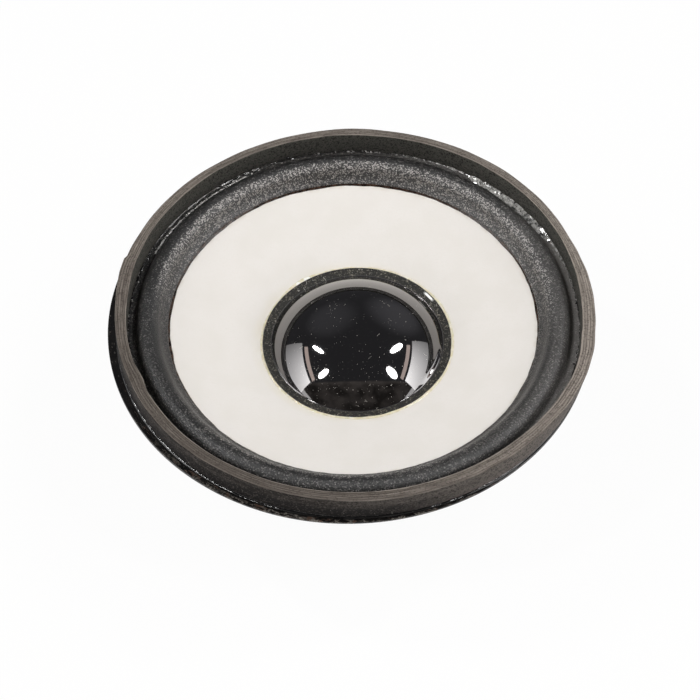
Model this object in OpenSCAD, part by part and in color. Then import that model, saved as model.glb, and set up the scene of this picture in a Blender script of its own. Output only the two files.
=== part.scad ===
// Loudspeaker driver with a pressed steel basket, a paper cone and a foam roll surround.
// The axis of the driver is Z. Z = 0 is the rear face of the back plate, and the cone faces +Z.

/* [Basket] */
// Outside diameter of the flange
flange_d = 130; // [124:0.5:136]
// Radial width of the flange's flat
flange_w = 7.4; // [6.8:0.1:8.5]
// Thickness of the pressed sheet
sheet_t = 0.8; // [0.6:0.05:1]
// Depth from the flange's front face to the motor seat
basket_depth = 24.6; // [23:0.1:28]
// Depth of the short skirt behind the flange
skirt_depth = 4.7; // [3.5:0.1:6]
// Taper of the skirt on its radius
skirt_draft = 1.1; // [0.5:0.1:1.5]
// Depth of the spider ledge below the cone's neck
ledge_drop = 3.1; // [3:0.1:3.7]
// Radial width of the spider ledge
ledge_w = 5.5; // [4.5:0.1:6.5]
// Width of each of the four arms
arm_w = 16; // [14:0.5:20]
// Solid wall left inside and outside each window, measured on the radius
window_margin = 2.6; // [2:0.1:3.5]
// Radius of the window corners
window_corner = 3.5; // [2:0.1:4.5]
// Distance of the basket's well inside the plate's rim
well_inset = 1.45; // [1.2:0.05:2]
// Radius of the bends in the pressed sheet
press_bend = 1.6; // [1.2:0.1:2]

/* [Gasket] */
// Width of the flange left bare outside the gasket
flange_reveal = 1.25; // [0.8:0.05:2.5]
// Radial width of the gasket
gasket_w = 3.05; // [2.5:0.05:3.6]
// Height of the gasket
gasket_h = 6.6; // [5:0.1:8]
// Chamfer on the gasket's edges
gasket_edge = 0.2; // [0.1:0.05:0.3]
// Height of the glue bead inside the gasket's foot
gasket_bead = 0.5; // [0.3:0.05:0.8]

/* [Surround] */
// Thickness of the foam
foam_t = 0.8; // [0.6:0.05:1]
// Width of the half roll
roll_w = 6.8; // [6:0.1:7.4]
// Height of the half roll above the line between its feet
roll_h = 3.5; // [2.8:0.1:4.2]
// Distance of the foam's rim inside the gasket's rim
land_inset = 0.3; // [0.1:0.1:0.6]
// Width of the lip that is glued on the cone
lip_w = 2; // [1.5:0.1:2.6]
// Gap that the glue fills between the lip and the cone
lip_glue_t = 0.25; // [0.2:0.05:0.4]
// Radial width of the glue line at the inner edge of the lip
edge_glue_w = 0.35; // [0.25:0.05:0.6]
// Height of that glue line
edge_glue_h = 0.4; // [0.2:0.05:0.6]

/* [Cone] */
// Depth of the cone's visible edge below the flange's front face
cone_drop = 1.3; // [0.8:0.1:2]
// Depth of the cone from its edge to its neck
cone_depth = 13.8; // [13:0.1:15]
// Exponent of the flare, where 1 is a straight cone
cone_flare = 0.8; // [0.75:0.01:0.95]
// Thickness of the paper
cone_t = 0.6; // [0.4:0.05:0.8]
// Width of the glue fillet round the neck
neck_glue_w = 1; // [0.7:0.1:1.4]
// Height of the collar at the neck
collar_h = 1.6; // [1:0.1:1.8]
// Radial thickness of the collar
collar_t = 0.6; // [0.4:0.05:0.8]

/* [Dust cap] */
// Outside diameter of the dust cap
cap_d = 51.4; // [49.4:0.1:54]
// Radial width of its glued skirt
cap_skirt = 2.8; // [2.2:0.1:3.2]
// Thickness of the cap
cap_t = 0.5; // [0.3:0.05:0.7]
// Radius of the crown in section
crown_r = 40; // [38:0.5:50]
// Radius of the shoulder in section
shoulder_r = 28; // [24:0.1:28.2]
// Slope of the dome where it meets the skirt, in degrees
shoulder_angle = 48; // [44:0.5:49]
// Width of the glue ring round the cap
cap_glue_w = 0.6; // [0.4:0.05:1]
// Gap that the glue fills between the cap and the cone
cap_glue_t = 0.15; // [0.1:0.05:0.25]
// Height of the glue ring round the cap
cap_glue_h = 0.5; // [0.3:0.05:0.6]

/* [Voice coil] */
// Inside diameter of the former
coil_d = 25.3; // [25:0.1:26]
// Thickness of the former
former_t = 0.2; // [0.15:0.05:0.25]
// Length of the former below the cone's neck
former_drop = 16.6; // [16:0.1:17.5]
// Length of the former above the cone's neck
former_rise = 1.8; // [1.5:0.1:2.2]
// Thickness of the two layers of wire
winding_t = 0.5; // [0.4:0.05:0.55]
// Length of the winding
winding_h = 9; // [8:0.1:10]
// Diameter of the coil wire
wire_d = 0.25; // [0.2:0.01:0.3]
// Clearance round the wire beside the former
wire_gap = 0.08; // [0.06:0.01:0.1]

/* [Spider] */
// Thickness of the varnished cloth
cloth_t = 0.5; // [0.3:0.05:0.6]
// Number of corrugations
waves = 5; // [4:1:6]
// Half height of the corrugations
wave_h = 0.9; // [0.6:0.05:1.1]
// Clearance between the corrugations and the wall of the basket's well
spider_gap = 0.6; // [0.4:0.1:1.5]
// Height of the turned-up collar
spider_collar = 0.7; // [0.5:0.1:0.9]
// Flat between the collar and the first corrugation
spider_flat = 0.6; // [0.4:0.1:0.8]

/* [Motor] */
// Thickness of the back plate
back_t = 4; // [3:0.1:6]
// Thickness of the top plate
top_t = 4; // [3:0.1:5]
// Outside diameter of both plates
plate_d = 58; // [56:0.5:61]
// Outside diameter of the magnet
magnet_d = 65; // [62:0.5:70]
// Hole in the magnet
magnet_bore = 32; // [30:0.5:34]
// Thickness of the magnet
magnet_t = 10; // [8:0.5:12]
// Clearance between the pole and the former
pole_gap = 0.3; // [0.3:0.05:0.45]
// Clearance between the winding and the top plate
plate_gap = 0.35; // [0.3:0.05:0.45]
// Diameter of the pole's staked spigot
spigot_d = 12; // [10:0.5:12.5]
// Depth of the spigot's end below the rear face
spigot_sink = 0.2; // [0.1:0.05:0.4]
// Chamfer on plates, pole and magnet
edge_break = 0.6; // [0.3:0.1:0.8]

/* [Fasteners] */
// Diameter of the rivet shanks
rivet_d = 3; // [2.5:0.1:3.4]
// Diameter of the rivet heads
rivet_head_d = 5; // [4.6:0.1:5.6]
// Height of the rivet heads
rivet_head_h = 1; // [0.8:0.05:1.1]
// Depth of the rivet shanks in the top plate
rivet_grip = 2.6; // [2:0.1:2.8]
// Number of rivets through the motor seat
rivet_count = 4; // [3:1:6]
// Distance of the rivets from the axis
rivet_ring = 21; // [19.5:0.1:22.5]

/* [Terminals] */
// Width of the terminal board
board_w = 31; // [29:0.5:34]
// Height of the terminal board
board_h = 11; // [10:0.5:13]
// Thickness of the terminal board
board_t = 1.5; // [1:0.1:2]
// Distance between the two tags
tag_pitch = 22; // [21.6:0.1:24]
// Width of each tag
tag_w = 4.8; // [4:0.1:5.2]
// Thickness of each tag
tag_t = 0.6; // [0.5:0.05:0.8]
// Length of the standing part of each tag
tag_rise = 5; // [4.5:0.1:9]
// Diameter of the eyelets
eyelet_d = 2.2; // [1.8:0.1:2.4]
// Diameter of the eyelets' rims
eyelet_rim_d = 3.4; // [3:0.1:3.8]
// Play of the cone's eyelets along their axis
eyelet_play = 0.3; // [0.2:0.05:0.4]
// Diameter of the hole through each eyelet
eyelet_bore = 1.1; // [0.8:0.1:1.2]
// Height of the eyelets' rims
eyelet_rim_h = 0.4; // [0.3:0.05:0.5]
// Distance of the cone's eyelets inside the dust cap's rim
eyelet_inset = 5.5; // [5.2:0.1:6]
// Length over which each end of a lead keeps to the line of its eyelet
lead_bow = 4; // [3:0.5:5]
// Diameter of the braided leads
lead_d = 1; // [0.8:0.05:1.2]

/* [Hidden] */
$fn = 96;

// How finely curves in section are drawn
bend_steps = 4;
roll_steps = 14;
cone_steps = 14;
dome_steps = 7;
wave_steps = 8;
window_steps = 6;
corner_steps = 4;
lead_rings = 15;
lead_sides = 8;
tail_steps = 4;
overcut = 1;

// Thin gap that keeps bonded pieces from cutting each other
film = 0.05;

// Heights along the axis
magnet_z = back_t;
top_z = magnet_z + magnet_t;
seat_z = top_z + top_t;
flange_z = seat_z + basket_depth;
land_z = flange_z + foam_t;
gasket_z = land_z + gasket_h;
edge_z = flange_z - cone_drop;
neck_z = edge_z - cone_depth;
ledge_z = neck_z - ledge_drop;

// Radii from the axis, from the coil outwards
former_r = coil_d / 2;
former_out = former_r + former_t;
pole_r = former_r - pole_gap;
winding_out = former_out + winding_t;
top_bore = winding_out + plate_gap;
neck_r = former_out + film / 2 + wire_d + wire_gap;
seat_bore = top_bore + edge_break;
ledge_r = plate_d / 2 - well_inset;
ledge_out = ledge_r + ledge_w;
throat_r = flange_d / 2 - flange_w;
skirt_r = throat_r - skirt_draft;
roll_out = throat_r + foam_t;
roll_in = roll_out - roll_w;
reach_r = roll_in - 2 * film;
edge_r = reach_r - lip_w;
gasket_out = flange_d / 2 - flange_reveal;
gasket_in = gasket_out - gasket_w;
land_out = gasket_out - land_inset;
window_in = ledge_out + window_margin;
window_out = skirt_r - window_margin;

// Vectors in a section
function unit(v) = v / norm(v);
function left_of(v) = [-v[1], v[0]];
function polar(r, a) = r * [cos(a), sin(a)];

// Points of the arc that rounds corner b of the path a, b, c
function bend(a, b, c, rad) =
    let (u = unit(a - b), v = unit(c - b), half = acos(u * v) / 2,
         centre = b + unit(u + v) * rad / sin(half),
         first = b + u * rad / tan(half) - centre,
         last = b + v * rad / tan(half) - centre)
    [for (i = [0:bend_steps]) centre + rad * unit(first * (1 - i / bend_steps) + last * i / bend_steps)];

// A path with each inner corner rounded by the same radius
function pressed(path, rad) =
    concat([path[0]],
           [for (i = [1:len(path) - 2]) each bend(path[i - 1], path[i], path[i + 1], rad)],
           [path[len(path) - 1]]);

// Direction in which point i of a path moves when the path is offset by 1
function mitre(path, i) =
    let (before = unit(path[i] - path[max(i - 1, 0)] + (i == 0 ? path[1] - path[0] : [0, 0])),
         after = i == len(path) - 1 ? before : unit(path[i + 1] - path[i]),
         side = unit(left_of(before) + left_of(after)))
    side / (side * left_of(after));

// Closed outline of a sheet of thickness t that follows a path on its middle
function sheet_outline(path, t) =
    concat([for (i = [0:len(path) - 1]) path[i] + mitre(path, i) * t / 2],
           [for (i = [len(path) - 1:-1:0]) path[i] - mitre(path, i) * t / 2]);

// Middle of the basket's sheet, from the flange's rim to the hole for the coil
basket_path = [
    [flange_d / 2, flange_z - sheet_t / 2],
    [throat_r, flange_z - sheet_t / 2],
    [skirt_r, flange_z - skirt_depth],
    [ledge_out, ledge_z - sheet_t / 2],
    [ledge_r, ledge_z - sheet_t / 2],
    [ledge_r - sheet_t / 2, seat_z + sheet_t / 2],
    [seat_bore, seat_z + sheet_t / 2]
];

// Front face of the cone at radius r
function cone_z(r) = neck_z + cone_depth * pow(max(r - neck_r, 0) / (edge_r - neck_r), cone_flare);

// Section through the terminal board's place on the arm at -Y
arm_mid = (basket_path[2] + basket_path[3]) / 2;
arm_slope = atan2(basket_path[2][1] - basket_path[3][1], basket_path[2][0] - basket_path[3][0]);

// Outline of the window between the arms at +X and +Y
function window_outline() =
    let (c = window_corner, e = arm_w / 2 + c, ro = window_out - c, ri = window_in + c,
         ao = asin(e / ro), ai = asin(e / ri), far = sqrt(ro * ro - e * e), near = sqrt(ri * ri - e * e))
    concat(
        [for (i = [0:window_steps]) polar(window_out, ao + (90 - 2 * ao) * i / window_steps)],
        [for (i = [1:corner_steps]) [e, far] + polar(c, 90 - ao + (90 + ao) * i / corner_steps)],
        [for (i = [0:corner_steps]) [e, near] + polar(c, 180 + (90 - ai) * i / corner_steps)],
        [for (i = [1:window_steps]) polar(window_in, 90 - ai - (90 - 2 * ai) * i / window_steps)],
        [for (i = [1:corner_steps]) [near, e] + polar(c, 180 + ai + (90 - ai) * i / corner_steps)],
        [for (i = [0:corner_steps - 1]) [far, e] + polar(c, 270 + (90 + ao) * i / corner_steps)]);

module basket() {
    color("#242222") difference() {
        rotate_extrude() polygon(sheet_outline(pressed(basket_path, press_bend), sheet_t));
        for (a = [0:90:270])
            rotate([0, 0, a]) translate([0, 0, ledge_z - sheet_t])
                linear_extrude(flange_z - ledge_z) polygon(window_outline());
        motor_rivet_holes();
        on_arm() cylinder(d = rivet_d, h = 4 * sheet_t, center = true);
    }
}

// A flat ring with a chamfer of size e on all its edges, standing on z = 0
module washer(out, bore, h, e) {
    rotate_extrude() polygon([
        [bore + e, 0], [out - e, 0], [out, e], [out, h - e],
        [out - e, h], [bore + e, h], [bore, h - e], [bore, e]
    ]);
}

module gasket() {
    color("#6d655e") translate([0, 0, land_z]) washer(gasket_out, gasket_in, gasket_h, gasket_edge);
}

module gasket_glue() {
    color("#151516") translate([0, 0, land_z]) rotate_extrude() polygon([
        [gasket_in - 2 * gasket_bead, 0], [gasket_in, 0], [gasket_in, gasket_bead],
        [gasket_in - gasket_bead, 0.7 * gasket_bead]
    ]);
}

// Inner edge of the foam's lip
lip_r = edge_r + edge_glue_w;

// Lower face of the lip at radius r, one glue gap above the cone
function lip_z(r) = cone_z(r) + lip_glue_t;

// Point of the roll at angle a from its outer foot, with the foam's thickness taken off by d
function roll_point(a, d) =
    let (mid = (roll_out + roll_in) / 2,
         base = land_z + (lip_z(roll_in) + foam_t - land_z) * (1 - cos(a)) / 2)
    [mid + (roll_w / 2 - d) * cos(a), base + (roll_h - d) * sin(a) - d * (1 - sin(a))];

module surround() {
    color("#38383a") rotate_extrude() polygon(concat(
        [[land_out, land_z]],
        [for (i = [0:roll_steps]) roll_point(180 * i / roll_steps, 0)],
        [[lip_r, lip_z(lip_r) + foam_t], [lip_r, lip_z(lip_r)], [reach_r, lip_z(reach_r)]],
        [for (i = [roll_steps - 1:-1:1]) roll_point(180 * i / roll_steps, foam_t)],
        [[roll_out - foam_t, flange_z], [land_out, flange_z]]));
}

// Spider, from the former to the ledge
spider_in = neck_r;
spider_out = ledge_out - sheet_t;
wave_in = spider_in + cloth_t + spider_flat;
wave_out = ledge_r - sheet_t / 2 - spider_gap;
wave_z = ledge_z + cloth_t / 2;

function wave_point(i, side) =
    let (s = i / (waves * wave_steps))
    [wave_in + (wave_out - wave_in) * s, wave_z + wave_h * sin(360 * waves * s) + side * cloth_t / 2];

module spider() {
    last = waves * wave_steps;
    collar_top = wave_z + cloth_t / 2 + spider_collar;
    color("#b98a3e") rotate_extrude() polygon(concat(
        [[spider_in, wave_z - cloth_t / 2], [spider_in, collar_top]],
        [[spider_in + cloth_t, collar_top], [spider_in + cloth_t, wave_z + cloth_t / 2]],
        [for (i = [0:last]) wave_point(i, 1)],
        [[spider_out, wave_z + cloth_t / 2], [spider_out, wave_z - cloth_t / 2]],
        [for (i = [last:-1:0]) wave_point(i, -1)]));
}

// Shanks of the rivets that hold the basket on the top plate
module motor_rivet_holes() {
    for (i = [0:rivet_count - 1])
        rotate([0, 0, 45 + 360 * i / rivet_count]) translate([rivet_ring, 0, seat_z - rivet_grip])
            cylinder(d = rivet_d, h = rivet_grip + sheet_t);
}

module motor_rivets() {
    color("#c4c4c0") {
        motor_rivet_holes();
        for (i = [0:rivet_count - 1])
            rotate([0, 0, 45 + 360 * i / rivet_count]) translate([rivet_ring, 0, seat_z + sheet_t])
                rivet_head();
    }
}

// Low domed head standing on z = 0
module rivet_head() {
    intersection() {
        cylinder(d = rivet_head_d, h = rivet_head_h);
        translate([0, 0, rivet_head_h - rivet_head_d]) sphere(r = rivet_head_d);
    }
}

module top_plate() {
    color("#b9b9b4") difference() {
        translate([0, 0, top_z]) washer(plate_d / 2, top_bore, top_t, edge_break / 2);
        motor_rivet_holes();
    }
}

module magnet() {
    color("#3a3a3c") translate([0, 0, magnet_z])
        washer(magnet_d / 2, magnet_bore / 2, magnet_t, edge_break);
}

module back_plate() {
    color("#b9b9b4") washer(plate_d / 2, spigot_d / 2, back_t, edge_break / 2);
}

module pole_piece() {
    color("#9c9c98") {
        translate([0, 0, spigot_sink]) cylinder(d = spigot_d, h = back_t - spigot_sink);
        translate([0, 0, back_t]) rotate_extrude() polygon([
            [0, 0], [pole_r, 0], [pole_r, seat_z - back_t - edge_break],
            [pole_r - edge_break, seat_z - back_t], [0, seat_z - back_t]
        ]);
    }
}

// Places its children on the arm at -Y: x across the arm, y outwards along it, z towards the cone
module on_arm() {
    translate([0, -arm_mid[0], arm_mid[1]]) rotate([0, 0, 180]) rotate([arm_slope, 0, 0]) children();
}

module terminal_board() {
    color("#6b4a2b") on_arm() translate([0, 0, -sheet_t / 2 - board_t]) difference() {
        translate([-board_w / 2, -board_h / 2, 0]) cube([board_w, board_h, board_t]);
        translate([0, 0, -overcut]) cylinder(d = rivet_d, h = board_t + 2 * overcut);
        for (s = [-1, 1])
            translate([s * tag_pitch / 2, 0, -overcut]) cylinder(d = eyelet_d, h = board_t + 2 * overcut);
    }
}

module board_rivet() {
    grip = sheet_t + board_t + film;
    color("#c4c4c0") on_arm() translate([0, 0, -sheet_t / 2 - board_t]) {
        cylinder(d = rivet_d, h = grip);
        translate([0, 0, grip]) rivet_head();
        mirror([0, 0, 1]) rivet_head();
    }
}

// One tag, flat on the board's rear face, with its outer end standing up to the rear
module tag(side) {
    color("#c9b27a") on_arm() translate([side * tag_pitch / 2, 0, -sheet_t / 2 - board_t - tag_t]) {
        difference() {
            translate([-tag_w / 2, -tag_w / 2, 0]) cube([tag_w, board_h / 2 + tag_w / 2, tag_t]);
            translate([0, 0, -overcut]) cylinder(d = eyelet_d, h = tag_t + 2 * overcut);
        }
        translate([0, board_h / 2 - tag_t, -tag_rise]) difference() {
            translate([-tag_w / 2, 0, 0]) cube([tag_w, tag_t, tag_rise]);
            translate([0, tag_t + overcut, tag_w / 2]) rotate([90, 0, 0])
                cylinder(d = eyelet_bore, h = tag_t + 2 * overcut);
        }
    }
}

// Hollow eyelet standing on z = 0, with a rim at both ends of its grip
module eyelet(grip) {
    difference() {
        union() {
            translate([0, 0, -eyelet_rim_h]) cylinder(d = eyelet_rim_d, h = eyelet_rim_h);
            cylinder(d = eyelet_d, h = grip);
            translate([0, 0, grip]) cylinder(d = eyelet_rim_d, h = eyelet_rim_h);
        }
        translate([0, 0, -eyelet_rim_h - overcut])
            cylinder(d = eyelet_bore, h = grip + 2 * (eyelet_rim_h + overcut));
    }
}

module tag_eyelets() {
    color("#c9b27a") on_arm() for (s = [-1, 1])
        translate([s * tag_pitch / 2, 0, -sheet_t / 2 - board_t - tag_t]) eyelet(board_t + tag_t);
}

// The cone's eyelets stand square to the cone, at the same x as the tags
eyelet_ring = cap_d / 2 - eyelet_inset;
eyelet_x = tag_pitch / 2;
eyelet_y = -sqrt(eyelet_ring * eyelet_ring - eyelet_x * eyelet_x);
eyelet_angle = atan2(eyelet_y, eyelet_x);
eyelet_slope = atan(cone_z(eyelet_ring + 0.5) - cone_z(eyelet_ring - 0.5));
eyelet_grip = cone_t + eyelet_play;

module at_cone_eyelets() {
    for (a = [eyelet_angle, 180 - eyelet_angle])
        rotate([0, 0, a]) translate([eyelet_ring, 0, cone_z(eyelet_ring) - cone_t / 2])
            rotate([0, -eyelet_slope, 0]) translate([0, 0, -eyelet_grip / 2]) children();
}

module cone_eyelets() {
    color("#c9b27a") at_cone_eyelets() eyelet(eyelet_grip);
}

// Centre line of a lead in the plane of its tag, as [y, z], from the tag's eyelet to the cone's
lead_lift = eyelet_rim_h + lead_d / 4;
tag_way = [sin(arm_slope), cos(arm_slope)];
cone_way = [-sin(eyelet_slope) * sin(eyelet_angle), cos(eyelet_slope)];
lead_first = [-arm_mid[0], arm_mid[1]] + (lead_lift - sheet_t / 2) * tag_way;
lead_last = [eyelet_y, cone_z(eyelet_ring) - cone_t / 2] - (eyelet_grip / 2 + lead_lift) * cone_way;
lead_out = lead_first + lead_bow * tag_way;
lead_home = lead_last - lead_bow * cone_way;

function lead_point(t) =
    pow(1 - t, 3) * lead_first + 3 * t * pow(1 - t, 2) * lead_out
    + 3 * t * t * (1 - t) * lead_home + pow(t, 3) * lead_last;

function lead_way(t) = unit(lead_point(min(t + 0.01, 1)) - lead_point(max(t - 0.01, 0)));

module lead(side) {
    rings = [for (i = [0:lead_rings], j = [0:lead_sides - 1])
        let (t = i / lead_rings, p = lead_point(t), n = left_of(lead_way(t)),
             c = polar(lead_d / 2, 360 * j / lead_sides))
        [side * eyelet_x + c[0], p[0] + n[0] * c[1], p[1] + n[1] * c[1]]];
    walls = [for (i = [0:lead_rings - 1], j = [0:lead_sides - 1])
        let (a = i * lead_sides, k = (j + 1) % lead_sides)
        each [[a + j, a + lead_sides + j, a + k], [a + k, a + lead_sides + j, a + lead_sides + k]]];
    start = [[for (j = [0:lead_sides - 1]) j]];
    finish = [[for (j = [lead_sides - 1:-1:0]) lead_rings * lead_sides + j]];
    color("#a8683c") polyhedron(points = rings, faces = concat(walls, start, finish));
}

// Radius of point i on the cone, the points closer together near the neck
function cone_r(i) = neck_r + (reach_r - neck_r) * pow(i / cone_steps, 1.5);

module cone() {
    collar_r = neck_r + collar_t;
    color("#ebe7e1") difference() {
        rotate_extrude() polygon(concat(
            [for (i = [0:cone_steps]) [cone_r(i), cone_z(cone_r(i))]],
            [for (i = [cone_steps:-1:1]) if (cone_r(i) > collar_r) [cone_r(i), cone_z(cone_r(i)) - cone_t]],
            [[collar_r, cone_z(collar_r) - 1.5 * cone_t], [collar_r, neck_z - collar_h]],
            [[neck_r, neck_z - collar_h]]));
        at_cone_eyelets() translate([0, 0, -overcut]) cylinder(d = eyelet_d, h = eyelet_grip + 2 * overcut);
    }
}

module surround_glue() {
    out = lip_r - film;
    color("#3b2a22") rotate_extrude() polygon([
        [edge_r, cone_z(edge_r) + film], [out, cone_z(out) + film],
        [out, cone_z(out) + edge_glue_h], [edge_r + edge_glue_w / 3, cone_z(edge_r) + edge_glue_h]
    ]);
}

// Section of the dust cap
cap_r = cap_d / 2;
dome_r = cap_r - cap_skirt;
crown_angle = asin((dome_r - shoulder_r * sin(shoulder_angle)) / (crown_r - shoulder_r));
skirt_z = cone_z(dome_r) + cap_glue_t;

// Outer face of the dome where its slope is a, moved inwards by d
function dome_point(a, d) =
    let (shoulder = [dome_r, skirt_z + cap_t] - shoulder_r * [sin(shoulder_angle), cos(shoulder_angle)],
         crown = shoulder - (crown_r - shoulder_r) * [sin(crown_angle), cos(crown_angle)],
         way = [sin(a), cos(a)],
         point = a < crown_angle ? crown + (crown_r - d) * way : shoulder + (shoulder_r - d) * way)
    [max(point[0], 0), point[1]];

module dust_cap() {
    slopes = concat(
        [for (i = [0:dome_steps - 1]) crown_angle * i / dome_steps],
        [for (i = [0:dome_steps]) crown_angle + (shoulder_angle - crown_angle) * i / dome_steps]);
    last = len(slopes) - 1;
    color("#1b1b1d") rotate_extrude() polygon(concat(
        [for (i = [0:last]) dome_point(slopes[i], 0)],
        [[cap_r, cone_z(cap_r) + cap_glue_t + cap_t], [cap_r, cone_z(cap_r) + cap_glue_t]],
        [[dome_r - cap_t * sin(shoulder_angle), skirt_z]],
        [for (i = [last - 1:-1:0]) dome_point(slopes[i], cap_t)]));
}

module cap_glue() {
    first = cap_r + film;
    last = first + cap_glue_w;
    color("#d9c48d") rotate_extrude() polygon([
        [first, cone_z(first) + film], [last, cone_z(last) + film],
        [first + cap_glue_w / 2, cone_z(first) + cap_glue_h], [first, cone_z(first) + cap_glue_h]
    ]);
}

module coil_former() {
    color("#c9a97a") translate([0, 0, neck_z - former_drop]) difference() {
        cylinder(r = former_out, h = former_drop + former_rise);
        translate([0, 0, -overcut]) cylinder(r = former_r, h = former_drop + former_rise + 2 * overcut);
    }
}

// Bottom of the winding, which is centred on the gap at rest
winding_z = top_z + (top_t - winding_h) / 2;

module coil_winding() {
    color("#a8522a") translate([0, 0, winding_z]) difference() {
        cylinder(r = winding_out, h = winding_h);
        translate([0, 0, -overcut]) cylinder(r = former_out, h = winding_h + 2 * overcut);
    }
}

// The coil's two wire ends, up the former and out over the cone to its eyelets
module coil_tails() {
    start = former_out + film / 2;
    crest = neck_z + former_rise - wire_d;
    stop = eyelet_ring - eyelet_rim_d / 2 - wire_d;
    knee = neck_r + neck_glue_w + wire_d;
    lift = 2 * film;
    run = [for (i = [0:tail_steps]) knee + (stop - knee) * i / tail_steps];
    color("#a8522a") for (a = [eyelet_angle, 180 - eyelet_angle])
        rotate([0, 0, a]) translate([0, wire_d / 2, 0]) rotate([90, 0, 0]) linear_extrude(wire_d)
        polygon(concat(
            [[start, winding_z + winding_h], [start + wire_d, winding_z + winding_h]],
            [[start + wire_d, crest - wire_d]],
            [for (r = run) [r, cone_z(r) + lift]],
            [for (i = [tail_steps:-1:0]) [run[i], cone_z(run[i]) + lift + wire_d]],
            [[start + wire_d, crest + wire_d], [start, crest + wire_d]]));
}

module neck_glue() {
    color("#4a2f1c") difference() {
        rotate_extrude() polygon([
            [neck_r, neck_z + 2 * film], [neck_r + neck_glue_w, cone_z(neck_r + neck_glue_w) + 2 * film],
            [neck_r, neck_z + former_rise - 2 * wire_d]
        ]);
        for (a = [eyelet_angle, 180 - eyelet_angle])
            rotate([0, 0, a]) translate([neck_r - overcut, -wire_d, neck_z - overcut])
                cube([neck_glue_w + 2 * overcut, 2 * wire_d, former_rise + 2 * overcut]);
    }
}

basket();
gasket();
gasket_glue();
surround();
spider();
top_plate();
magnet();
back_plate();
pole_piece();
motor_rivets();
terminal_board();
board_rivet();
tag(-1);  // left_tag
tag(1);  // right_tag
tag_eyelets();
lead(-1);  // left_lead
lead(1);  // right_lead
cone();
surround_glue();
dust_cap();
cap_glue();
coil_former();
coil_winding();
coil_tails();
neck_glue();
cone_eyelets();
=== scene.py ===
"""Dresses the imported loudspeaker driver: pressed, wound, foamed and turned pieces round its frame."""
import logging
import math
import random
from dataclasses import dataclass
from enum import Enum
from typing import Callable, Optional, Sequence, Union

import bmesh
import bpy
from mathutils import Matrix, Vector, noise


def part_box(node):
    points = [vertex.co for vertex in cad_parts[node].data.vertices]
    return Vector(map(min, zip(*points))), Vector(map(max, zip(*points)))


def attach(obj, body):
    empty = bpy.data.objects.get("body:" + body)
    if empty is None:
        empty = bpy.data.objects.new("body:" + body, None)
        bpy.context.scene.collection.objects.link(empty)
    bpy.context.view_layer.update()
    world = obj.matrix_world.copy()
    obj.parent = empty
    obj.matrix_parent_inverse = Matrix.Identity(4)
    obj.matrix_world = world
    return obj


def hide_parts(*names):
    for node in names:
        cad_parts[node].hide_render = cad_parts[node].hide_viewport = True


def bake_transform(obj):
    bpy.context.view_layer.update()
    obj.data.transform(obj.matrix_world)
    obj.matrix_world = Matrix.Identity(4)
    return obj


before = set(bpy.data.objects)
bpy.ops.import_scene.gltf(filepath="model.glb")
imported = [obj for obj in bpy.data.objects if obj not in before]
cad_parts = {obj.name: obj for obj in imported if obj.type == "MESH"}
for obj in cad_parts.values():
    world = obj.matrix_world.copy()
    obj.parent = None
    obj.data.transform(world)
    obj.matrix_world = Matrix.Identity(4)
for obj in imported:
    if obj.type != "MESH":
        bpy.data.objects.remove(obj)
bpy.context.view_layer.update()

LOG = logging.getLogger("driver")
MM = 0.001
PER_M = 1000
REST = "rest_point"
# Radius in mm at which the length of a streak round the axis is true
RING_R = 60.0
# Range of a normal's height in which a face counts as looking to the front
FACING = (0.45, 0.8)
# Turn after which a wave texture repeats
WAVE_TURN = 6.283
# Distance in mm under which points of a spun wedge are one
MERGE_MM = 0.002
# Degrees in a radian and the step between two noises, as the pieces' waves were set with them
RADIAN_DEG = 57.3
SEED_STEP = 7.31
# Edge, half width and depth of a rivet's shank under its head, in mm
RIVET_EDGE, RIVET_SHANK, RIVET_DEEP = 0.12, 1.5, 0.6

Point = tuple[float, float]
Corner = tuple[float, float, float]
Lobes = tuple[tuple[float, float, float], ...]
Socket = bpy.types.NodeSocket
Value = Union[float, tuple, Socket, "Field"]
Shift = Callable[[Vector], Vector]


class Body(Enum):
    """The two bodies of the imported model."""

    CHASSIS = "chassis"
    DIAPHRAGM = "diaphragm"


@dataclass(frozen=True)
class Extent:
    """Outer radius, lowest and highest point of a round CAD node, in mm."""

    radius: float
    low: float
    high: float


def extent(node: str) -> Extent:
    """Size of a round CAD node in mm, read from the frame."""
    low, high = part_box(node)
    return Extent(high.x / MM, low.z / MM, high.z / MM)


def linear(code: str) -> tuple[float, float, float, float]:
    """Linear red, green and blue of an sRGB colour such as "#1d1b1a", with an alpha of 1."""
    parts = [int(code[i : i + 2], 16) / 255 for i in (1, 3, 5)]
    return (*(p / 12.92 if p <= 0.04045 else ((p + 0.055) / 1.055) ** 2.4 for p in parts), 1.0)


def add_node(
    tree: bpy.types.NodeTree,
    kind: str,
    inputs: Optional[dict] = None,
    out: Union[int, str] = 0,
    **settings: object,
) -> Socket:
    """Adds one shader node with its settings and links.

    Args:
        tree: The node tree.
        kind: The node's type without its "ShaderNode" prefix.
        inputs: Input name or number to a value or a socket.
        out: The wanted output.
        **settings: The node's own properties.

    Returns:
        The wanted output socket.
    """
    node = tree.nodes.new("ShaderNode" + kind)
    for key, value in settings.items():
        setattr(node, key, value)
    for key, value in (inputs or {}).items():
        value = value.socket if isinstance(value, Field) else value
        if isinstance(value, Socket):
            tree.links.new(value, node.inputs[key])
        else:
            node.inputs[key].default_value = value
    return None if out is None else node.outputs[out]


def ramp(tree: bpy.types.NodeTree, value: Value, span: Point, rise: Point = (0.0, 1.0)) -> Socket:
    """Maps the span of a value to another one, and holds it there at both ends."""
    names = ("From Min", "From Max", "To Min", "To Max")
    return add_node(tree, "MapRange", {"Value": value, **dict(zip(names, (*span, *rise)))})


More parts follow.
